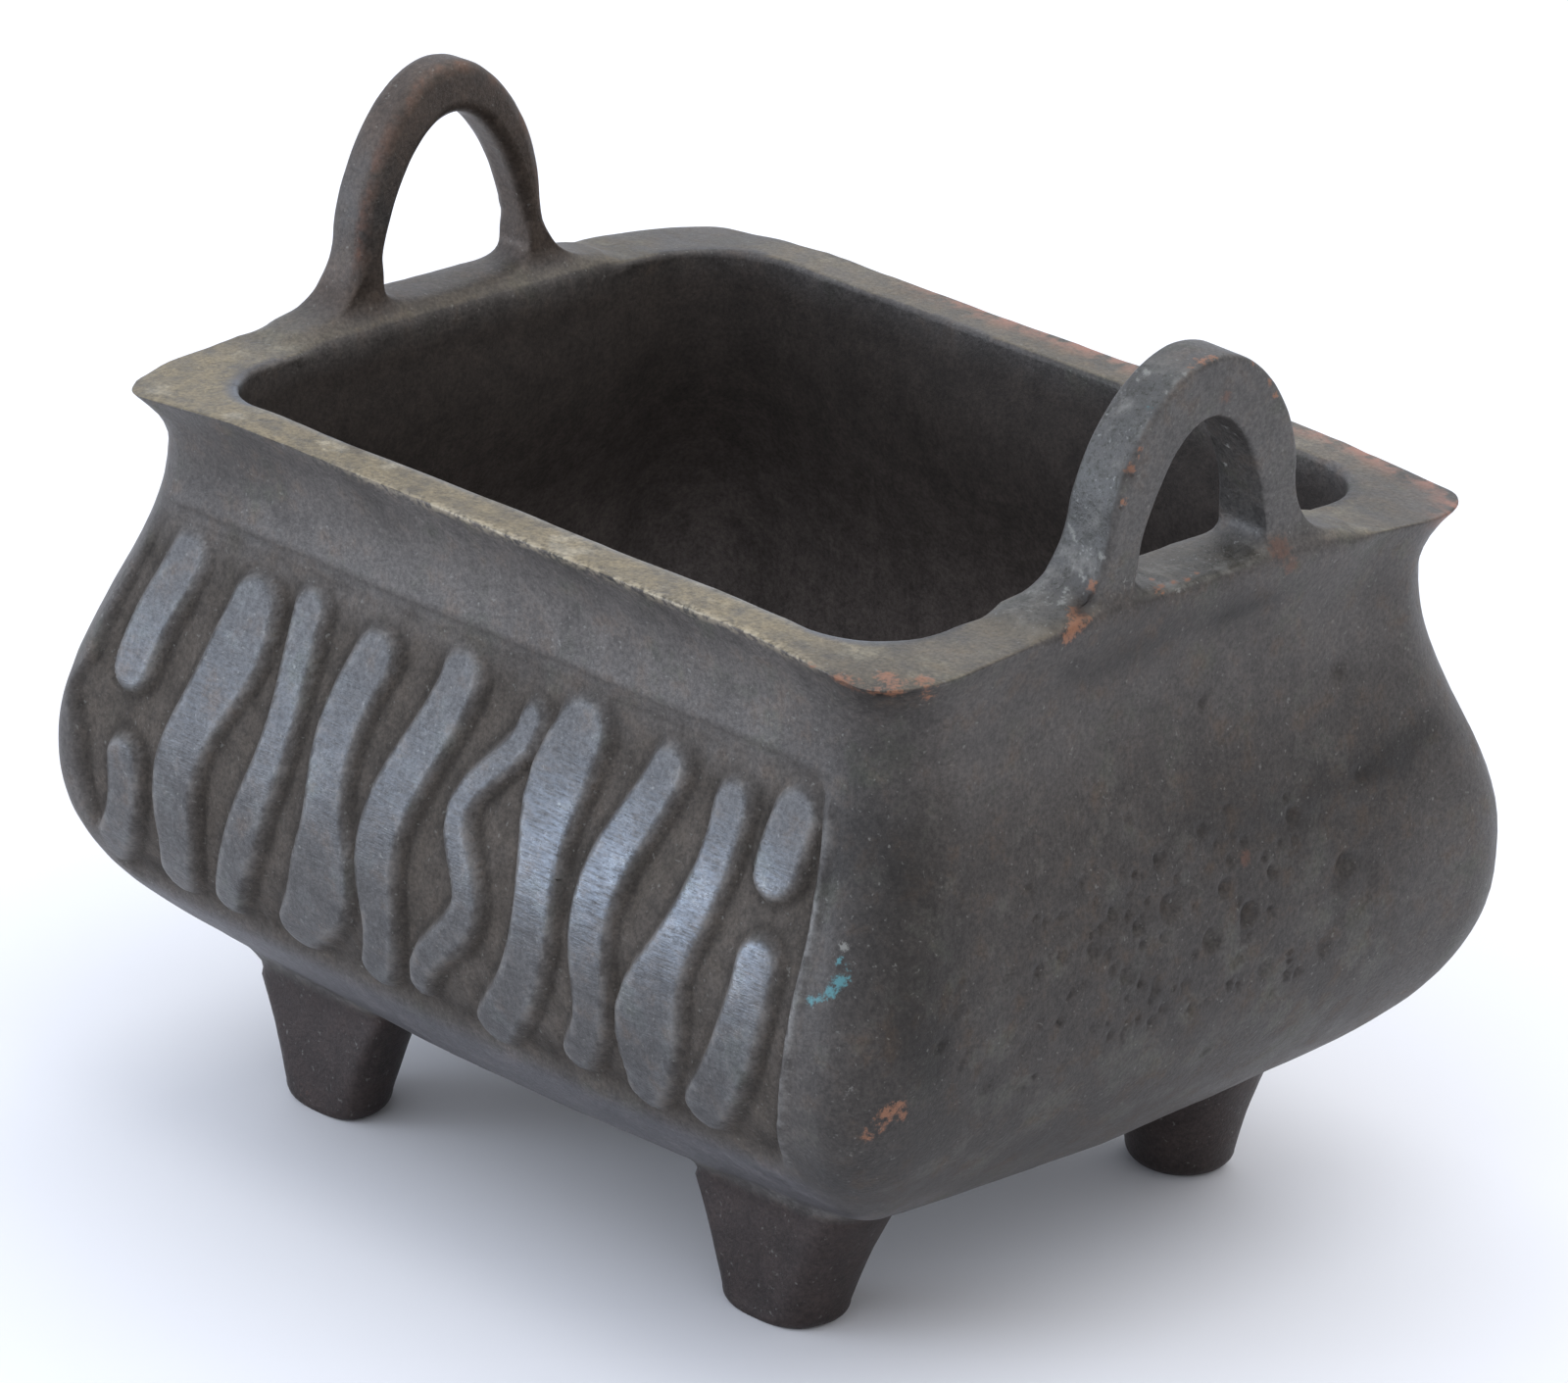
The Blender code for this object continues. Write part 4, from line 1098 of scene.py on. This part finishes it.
bronze = {
    "colours": {
        "dark": (71, 67, 64), "light": (90, 86, 83), "brown": (85, 74, 65), "green": (74, 76, 65),
        "end": (63, 59, 56), "paintedLightBelowPanel": (98, 98, 104), "foot": (54, 45, 43), "handle": (88, 86, 84),
        "ground": (80, 73, 66), "stroke": (80, 79, 79), "strokeLight": (100, 101, 103),
        "creviceShadeAndMottle": (48, 43, 38), "polishAndPaintedSheen": (150, 160, 172), "edge": (150, 150, 148),
        "rimTop": (126, 115, 92), "rimDark": (86, 80, 70), "rimLight": (158, 150, 132),
        "openingEdgeGlint": (134, 140, 148), "lip": (182, 170, 146), "farLip": (168, 122, 106),
        "inner": (55, 48, 43), "deep": (108, 100, 95), "warm": (88, 76, 67), "copper": (142, 92, 68),
        "deposit": (138, 138, 134), "depositPale": (88, 88, 87), "depositDark": (52, 52, 46),
        "pitShade": (46, 42, 39), "chips": (134, 88, 60), "verdigris": (66, 122, 128),
        "dust": (150, 150, 144), "blots": (108, 72, 56), "cavityShade": (44, 38, 34),
    },
    # noise: lump size, detail and roughness
    "patterns": {
        "cloud": (14, 4, 0.55), "mottle": (2.6, 6, 0.65), "patches": (5.5, 5, 0.7), "grain": (0.4, 4, 0.75),
        "specks": (0.8, 3, 0.6), "crust": (1.1, 6, 0.8), "flecks": (0.45, 2, 0.5), "brushed": (0.2, 2, 0.6),
    },
    "brushLength": (0.14, 1, 1),
    # coats in their order: colour, strength, a pattern that breaks it up with its low and high end,
    # and the field it follows, where that hasn't the colour's name
    "coats": (
        ("light", 1.0, "cloud", 0.35, 0.65, "all"),
        # painted shade on the right end's wall
        ("end", 0.8),
        ("light", 0.55, "patches", 0.5, 0.64, "end"),
        # the crevice colour here is a dark mottle on the right end's wall
        ("creviceShadeAndMottle", 0.5, "mottle", 0.54, 0.68, "end"),
        ("handle", 0.7),
        ("stroke", 0.85),
        ("strokeLight", 0.7, "patches", 0.48, 0.66, "stroke"),
        ("brown", 0.55, "mottle", 0.5, 0.72, "all"),
        ("green", 0.45, "patches", 0.52, 0.7, "all"),
        ("ground", 0.85),
        # painted shade in the crevices of the panels and along the right handle's edge
        ("creviceShadeAndMottle", 0.6),
        ("warm", 0.85, "cloud", 0.2, 0.5),
        ("rimTop", 0.9, "mottle", 0.1, 0.5),
        ("rimDark", 0.8, "crust", 0.5, 0.66, "rimTop"),
        ("rimLight", 0.6, "patches", 0.56, 0.7, "rimTop"),
        # painted light below the front panel
        ("paintedLightBelowPanel", 0.5),
        ("foot", 0.9),
        ("inner", 0.95),
        # painted light deep in the hollow
        ("deep", 0.9),
        # painted shade in the pits
        ("pitShade", 0.15),
    ),
    "tones": {"grain": (0.7, 1.3), "mottle": (0.77, 1.21)},  # how much darker and lighter they make it
    "stainAndShadeDepth": 0.55,  # how much of the light a full stain with its painted shade takes away
    "topCoats": (
        ("dust", 0.3, "flecks", 0.66, 0.76, "outer"),
        # worn edges with a painted highlight
        ("edge", 0.45, "mottle", 0.42, 0.62),
        # painted highlight along the opening's front edge
        ("openingEdgeGlint", 0.7, "mottle", 0.3, 0.55),
        # worn copper painted as a glint along the left handle's edge
        ("copper", 0.65, "mottle", 0.4, 0.62, "worn"),
        ("depositPale", 0.5, "patches", 0.3, 0.6, "deposit"),
        ("depositDark", 0.8, "grain", 0.48, 0.64, "deposit"),
        ("depositDark", 0.5, "crust", 0.5, 0.62, "deposit"),
        ("deposit", 0.5, "mottle", 0.5, 0.72),
        ("deposit", 0.4, "flecks", 0.62, 0.74),
        # painted highlight: the pale bluish sheen on the front strokes, broken up by brushed streaks
        ("polishAndPaintedSheen", 0.45, "brushed", 0.2, 0.8),
        ("lip", 0.75, "specks", 0.4, 0.6),
        ("farLip", 0.8, "mottle", 0.4, 0.58),
    ),
    "marks": {"verdigris": 0.85, "dust": 0.55, "chips": 0.85, "blots": 0.45, "cavityShade": 0.9},
    "ragged": (1.5, 0.45, 0.8),  # how far grain shifts a mark's edge, and where the mark starts and is full
    "flawShade": 0.5,
    "rough": {
        "skin": (0.42, 0.58), "stroke": (0.36, 0.5), "shiny": (0.16, 0.34), "ground": 0.75,
        "inner": 0.8, "dust": 0.9,
    },
    "metal": {"skin": 0.55, "polishAndPaintedSheen": 0.9, "inner": 0.1},
    # how high each pattern stands, how much more on the skin and the ground, and the whole's depth
    "relief": {"grain": 0.7, "mottle": 0.6, "brushed": 0.6, "skin": 1.2, "ground": 2.6},
    "reliefStrength": 0.6, "reliefDepth": 0.14,
}


def bronzeMaterial():
    b = bronze
    material = bpy.data.materials.new("darkBronze")
    material.use_nodes = True
    n = Nodes(material.node_tree)
    where = n.add("TexCoord", {})["Object"]
    along = n.add("Mapping", {"Vector": where, "Scale": b["brushLength"]})["Vector"]
    patterns = {
        name: n.noise(along if name == "brushed" else where, *values)
        for name, values in b["patterns"].items()
    }
    fields = {name: n.field(name) for name in surfaceFields}
    fields["outer"] = n.math("SUBTRACT", 1.0, fields["inner"])
    colours = {name: seen(*values) for name, values in b["colours"].items()}

    def painted(colour, name, strength, pattern=None, low=0.0, high=1.0, field=None):
        factor = n.ramp(patterns[pattern], low, high, 0.0, strength) if pattern else strength
        if field != "all":
            factor = n.math("MULTIPLY", fields[field or name], factor)
        return n.colour(factor, colour, colours[name])

    def spread(pattern, first, last):
        return n.ramp(patterns[pattern], 0.3, 0.7, first, last)

    colour = colours["dark"]
    for coat in b["coats"]:
        colour = painted(colour, *coat)
    tone = n.math("MULTIPLY_ADD", fields["stainAndShade"], -b["stainAndShadeDepth"], 1.0)
    for pattern, ends in b["tones"].items():
        tone = n.math("MULTIPLY", tone, spread(pattern, *ends))
    colour = n.add("VectorMath", {0: colour, "Scale": tone}, operation="SCALE")[0]
    for coat in b["topCoats"]:
        colour = painted(colour, *coat)
    # marks have ragged, soft outlines
    shift, start, full = b["ragged"]
    rag = n.math("MULTIPLY_ADD", patterns["grain"], shift, -shift / 2)
    marked = {}
    for name, strength in b["marks"].items():
        marked[name] = n.ramp(n.math("ADD", fields[name], rag), start, full, 0.0, strength)
        colour = n.colour(marked[name], colour, colours[name])
    # painted shade in the casting's flaws
    colour = painted(colour, "pitShade", b["flawShade"], field="flaw")

    ground, stroke, inner, polishAndPaintedSheen = (fields[name] for name in ("ground", "stroke", "inner", "polishAndPaintedSheen"))
    r = b["rough"]
    rough = n.mixed(ground, spread("mottle", *r["skin"]), r["ground"])
    rough = n.mixed(stroke, rough, spread("mottle", *r["stroke"]))
    shiny = n.math("MULTIPLY", polishAndPaintedSheen, n.ramp(patterns["patches"], 0.4, 0.58))
    rough = n.mixed(shiny, rough, spread("brushed", *r["shiny"]))
    rough = n.mixed(inner, rough, r["inner"])
    rough = n.mixed(marked["dust"], rough, r["dust"])
    m = b["metal"]
    metal = n.mixed(inner, n.mixed(polishAndPaintedSheen, m["skin"], m["polishAndPaintedSheen"]), m["inner"])
    dull = n.math("MAXIMUM", n.math("MAXIMUM", marked["dust"], marked["verdigris"]), marked["chips"])
    metal = n.mixed(dull, metal, 0.0)
    h = b["relief"]
    height = n.math("MULTIPLY", patterns["mottle"], h["mottle"])
    height = n.math("MULTIPLY_ADD", patterns["grain"], h["grain"], height)
    height = n.math("MULTIPLY", height, n.mixed(ground, h["skin"], h["ground"]))
    height = n.math("MULTIPLY_ADD", patterns["brushed"], n.math("MULTIPLY", stroke, h["brushed"]), height)
    depth = {"Strength": b["reliefStrength"], "Distance": b["reliefDepth"] * mm, "Height": height}
    normal = n.add("Bump", depth)["Normal"]
    shader = n.tree.nodes["Principled BSDF"].inputs
    inputs = {"Base Color": colour, "Roughness": rough, "Metallic": metal, "Normal": normal}
    for name, value in inputs.items():
        n.feed(shader[name], value)
    return material


burner.data.materials.clear()
burner.data.materials.append(bronzeMaterial())
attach(burner, "root")
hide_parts(burnerName)
print("bronze finished")


# STUDIO
studio = {
    "floorSize": 6.0, "floorColour": seen(237, 237, 239), "floorDrop": 0.02,
    "skyDark": (0.53, 0.49, 0.45, 1.0), "skyBright": (1.13, 1.21, 1.37, 1.0),
    "brightSide": (-0.55, -0.35, 0.75), "skySpread": 0.8,  # where the sky is brightest, and how widely
    "softboxes": (
        {"at": (0.1, 0.55, 1.3), "size": (1.8, 1.8), "power": 9.0, "colour": (1.0, 0.96, 0.9)},
        {"at": (-0.95, -1.1, 0.24), "size": (0.7, 0.36), "power": 6.0, "colour": (0.82, 0.93, 1.1)},
    ),
}


def makeStudio():
    half = studio["floorSize"] / 2
    mesh = bpy.data.meshes.new("studio_floor")
    z = -studio["floorDrop"] * mm
    corners = [(-half, -half, z), (half, -half, z), (half, half, z), (-half, half, z)]
    mesh.from_pydata(corners, [], [(0, 1, 2, 3)])
    floor = newObject("studio_floor", mesh)
    material = bpy.data.materials.new("paleFloor")
    material.use_nodes = True
    shader = material.node_tree.nodes["Principled BSDF"]
    shader.inputs["Base Color"].default_value = studio["floorColour"]
    shader.inputs["Roughness"].default_value = 0.9
    mesh.materials.append(material)
    world = bpy.data.worlds.new("studio")
    bpy.context.scene.world = world
    world.use_nodes = True
    n = Nodes(world.node_tree)
    bright = Vector(studio["brightSide"]).normalized()
    side = n.add("VectorMath", {0: n.add("TexCoord", {})["Generated"], 1: bright}, operation="DOT_PRODUCT")
    share = n.ramp(side["Value"], -studio["skySpread"], studio["skySpread"])
    sky = n.colour(share, studio["skyDark"], studio["skyBright"])
    n.feed(n.tree.nodes["Background"].inputs["Color"], sky)
    for number, box in enumerate(studio["softboxes"]):
        lamp = bpy.data.lights.new(f"softbox_{number}", "AREA")
        lamp.shape = "RECTANGLE"
        lamp.size, lamp.size_y = box["size"]
        lamp.energy = box["power"]
        lamp.color = box["colour"]
        thing = newObject(lamp.name, lamp)
        thing.location = box["at"]
        thing.rotation_euler = (-Vector(box["at"])).to_track_quat("-Z", "Y").to_euler()


# CAMERA
viewpoint = {
    "turn": 43.93, "rise": 21.60, "roll": 2.70, "away": 773.35,
    "aside": 0.49, "height": 39.86, "focalPixels": 9476.4, "imageWidth": 1600, "sensor": 36.0,
}


def makeCamera():
    v = viewpoint
    turn, rise, roll = (math.radians(v[k]) for k in ("turn", "rise", "roll"))
    back = Vector((math.sin(turn) * math.cos(rise), -math.cos(turn) * math.cos(rise), math.sin(rise)))
    right = Vector((math.cos(turn), math.sin(turn), 0))
    up = back.cross(right)
    place = Vector((0, 0, v["height"])) + right * v["aside"] + back * v["away"]
    rolledRight = right * math.cos(roll) + up * math.sin(roll)
    rolledUp = up * math.cos(roll) - right * math.sin(roll)
    camera = bpy.data.cameras.new("camera")
    camera.sensor_fit = "HORIZONTAL"
    camera.sensor_width = v["sensor"]
    camera.lens = v["focalPixels"] / v["imageWidth"] * v["sensor"]
    camera.clip_start = 0.01
    camera.clip_end = 20
    thing = newObject("camera", camera)
    turned = Matrix((rolledRight, rolledUp, back)).transposed().to_4x4()
    turned.translation = place * mm
    thing.matrix_world = turned
    bpy.context.scene.camera = thing


makeStudio()
makeCamera()
bpy.context.scene.view_settings.view_transform = "Standard"
print("studio and camera set")
